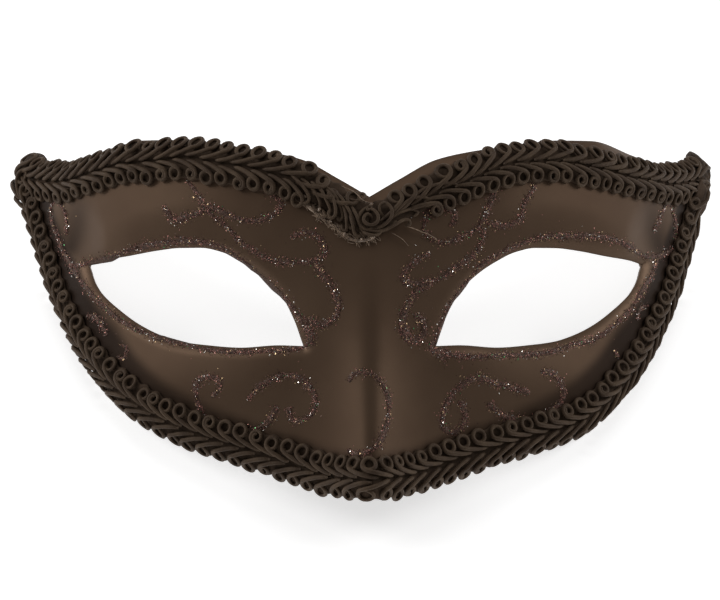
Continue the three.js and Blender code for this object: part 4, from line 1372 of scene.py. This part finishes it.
# %% Dried glue
GLUE_DROPS = {
    (306, 197): 0.5, (320, 210): 0.55, (331, 222): 0.35, (345, 235): 0.45, (362, 241): 0.5, (372, 238): 0.45,
    (371, 207): 0.35,
}  # pixels of the front view, and radii in mm
RIDGE_RADIUS, RIDGE_LEAST = 0.42 * MM, 0.05 * MM
DROP_LIFT, DROP_DENT = 1.1, 0.25  # in mm, and as a share of its radius
DRIED_GLUE = noisy_finish(
    "dried_clear_glue",
    tones=(0.7 * MM, 2, (0.12, 0.08, 0.055), (0.34, 0.24, 0.165)),
    bumps=[(0.5 * MM, 2, 0.08 * MM, 0.6)],
    Roughness=0.18, Coat_Weight=0.6, Coat_Roughness=0.08,
)


def glue_ridge(pixels):
    """A lumpy ridge of glue along the frayed edge, lower and narrower at its ends."""
    path = pressed_on(line_through(pixels, 0.8))
    wide = RIDGE_RADIUS * squeezed(len(path), 0.45) * tapered(len(path), 0.5, 6)
    wide = np.maximum(wide, RIDGE_LEAST)
    return tubes(over_face(*path.T, wide)[None], face_normal(*path.T)[None], wide[None])


def drop(pixel, radius, sides=10, rings=5):
    """A flattened drop of glue: rings of points from its foot to its crown."""
    spot = pressed_on(np.array([pixel], float))[0]
    rise = np.linspace(-0.3, 0.5 * math.pi, rings)[:, None]
    turn = np.linspace(0, 2 * math.pi, sides, endpoint=False)
    wide = radius * MM * np.cos(rise) * (1 + DROP_DENT * np.sin(2 * turn + spot[0] / MM))
    wide = np.maximum(wide, 0.02 * MM)
    along, up = spot[0] + wide * np.cos(turn), spot[1] + wide * np.sin(turn)
    points = over_face(along, up, np.broadcast_to((DROP_LIFT + radius * np.sin(rise)) * MM, along.shape))
    faces = ringed_faces(points, reverse=True)
    return points.reshape(-1, 3), faces, np.zeros((4 * (len(faces) - 2), 2))


drops = [drop(pixel, radius) for pixel, radius in GLUE_DROPS.items()]
points, faces, _ = joined([glue_ridge(FRAYED_EDGE)] + drops)
make_piece("glue_drops", laid(points), faces, [DRIED_GLUE])

# %% [markdown]
# ## The glued ends at the tips
#
# At the two tips the ends of the lower braid lie over those of the upper ones. There they were soaked in glue
# and pressed, so the gaps between the cords are filled and the outline is round. A closed low pad does that:
# rings of points that shrink from its outline to its crown, and a flat underside. The cords sink into it.

# %% The glued ends
LEFT_TIP_OUTLINE = [
    (-12.2, 0.8), (-11.5, 3), (-9.4, 4.4), (-6.6, 5.1), (-3.4, 5.2), (-0.6, 4.2), (0.8, 2), (1.2, -0.5),
    (1.6, -2.8), (2.4, -5.6), (2.2, -8), (-1, -10.6), (-6, -9.2), (-9, -6), (-11.6, -2.6),
]  # mm out and up on the sheet, from the tip's middle
RIGHT_TIP_OUTLINE = [
    (-9.5, -1), (-8.8, 2.8), (-6.2, 5.1), (-3.2, 5.9), (-0.9, 4.9), (0.8, 2), (1.3, -1.6), (1.2, -5),
    (0.9, -8.6), (-0.9, -11.2), (-5, -9.6), (-8.8, -5),
]
TIP_MIDDLE_UP = 34 * MM
TIP_RINGS = (1, 0.97, 0.9, 0.78, 0.62, 0.44, 0.24, 0.06)
TIP_SUNK = -0.5 * MM
TIP_LUMPS = 0.11  # of the height
GLUED_END = noisy_finish(
    "glue_soaked_end",
    tones=(1.6 * MM, 3, (0.026, 0.017, 0.0115), (0.066, 0.043, 0.028)),
    roughness=(1.2 * MM, 3, 0.55, 0.8),
    bumps=[(1.3 * MM, 1, 0.5 * MM, 0.9), (0.3 * MM, 3, 0.06 * MM, 0.7)],
    Specular_IOR_Level=0.1,
)


def glued_pad(name, side, outline, height):
    outline = line_through(outline + outline[:1], 0.6)[:-1] * MM
    outline = np.stack([side * (TIP_ALONG + outline[:, 0]), TIP_MIDDLE_UP + outline[:, 1]], 1)
    crown = outline.mean(0)
    share = np.array(TIP_RINGS)[:, None]
    spots = crown + (outline - crown) * share[..., None]
    turn = np.linspace(0, 2 * math.pi, len(outline), endpoint=False)
    lumps = np.sin(4 * turn + 5 * share) + np.sin(7 * turn - 9 * share)
    lift = height * np.sqrt(1 - (0.98 * share) ** 2) + TIP_LUMPS * height * lumps * np.sin(math.pi * share)
    under = over_face(*outline.T, np.full(len(outline), TIP_SUNK))[None]
    points = np.concatenate([under, over_face(spots[..., 0], spots[..., 1], lift)])
    faces = ringed_faces(points)
    if side > 0:
        faces = [face[::-1] for face in faces]
    make_piece(name, laid(points.reshape(-1, 3)), faces, [GLUED_END])


glued_pad("left_tip_glue", -1, LEFT_TIP_OUTLINE, 1.6 * MM)
glued_pad("right_tip_glue", 1, RIGHT_TIP_OUTLINE, 2.1 * MM)

# %% [markdown]
# ## Floor and light
#
# The floor is plain and pale, and glows a little like the opal table of a product photographer, so it comes
# out as white as in the picture and takes no hard shadow. Two large soft boxes stand at the sides, a little
# in front of the face. They model the nose and the temples, while the middle of the face gets little light
# and stays dark, as on the real one. A wide soft box overhead lifts the rest.

# %% Floor and lights
FLOOR_REACH = 3.0
floor_mesh = bpy.data.meshes.new("floor")
corners = [(-1, -1), (1, -1), (1, 1), (-1, 1)]
floor_mesh.from_pydata([(x * FLOOR_REACH, y * FLOOR_REACH, 0) for x, y in corners], [], [(0, 1, 2, 3)])
floor_mesh.materials.append(noisy_finish(
    "pale_floor",
    tones=(400 * MM, 2, (0.86, 0.86, 0.86), (0.9, 0.9, 0.9)),
    Roughness=0.9, Emission_Color=(1, 1, 1, 1), Emission_Strength=0.62,
))
floor = placed("floor", floor_mesh)


def soft_box(name, place, aim, size, power):
    """A square lamp at a place of the upright face's frame, which shines at another place."""
    data = bpy.data.lights.new(name, "AREA")
    data.shape = "RECTANGLE"
    data.size, data.size_y = size
    data.energy = power
    lamp = placed(name, data)
    start, end = (Vector(laid(np.array(p, float))) for p in (place, aim))
    lamp.location = start
    lamp.rotation_euler = (end - start).to_track_quat("-Z", "Y").to_euler()


for name, side, power in (("soft_box_left", -1, 4.9), ("soft_box_right", 1, 4.4)):
    soft_box(name, (side * 0.95, -0.16, 0.5), (0, 0.02, 0), (0.42, 0.36), power)
soft_box("overhead", (0, -0.35, 1.1), (0, 0, 0), (0.9, 0.5), 2.6)

world = bpy.data.worlds.new("studio")
world.use_nodes = True
background = world.node_tree.nodes["Background"]
background.inputs["Color"].default_value = (1, 1, 1, 1)
background.inputs["Strength"].default_value = 0.19
bpy.context.scene.world = world
bpy.context.scene.view_settings.view_transform = "Standard"
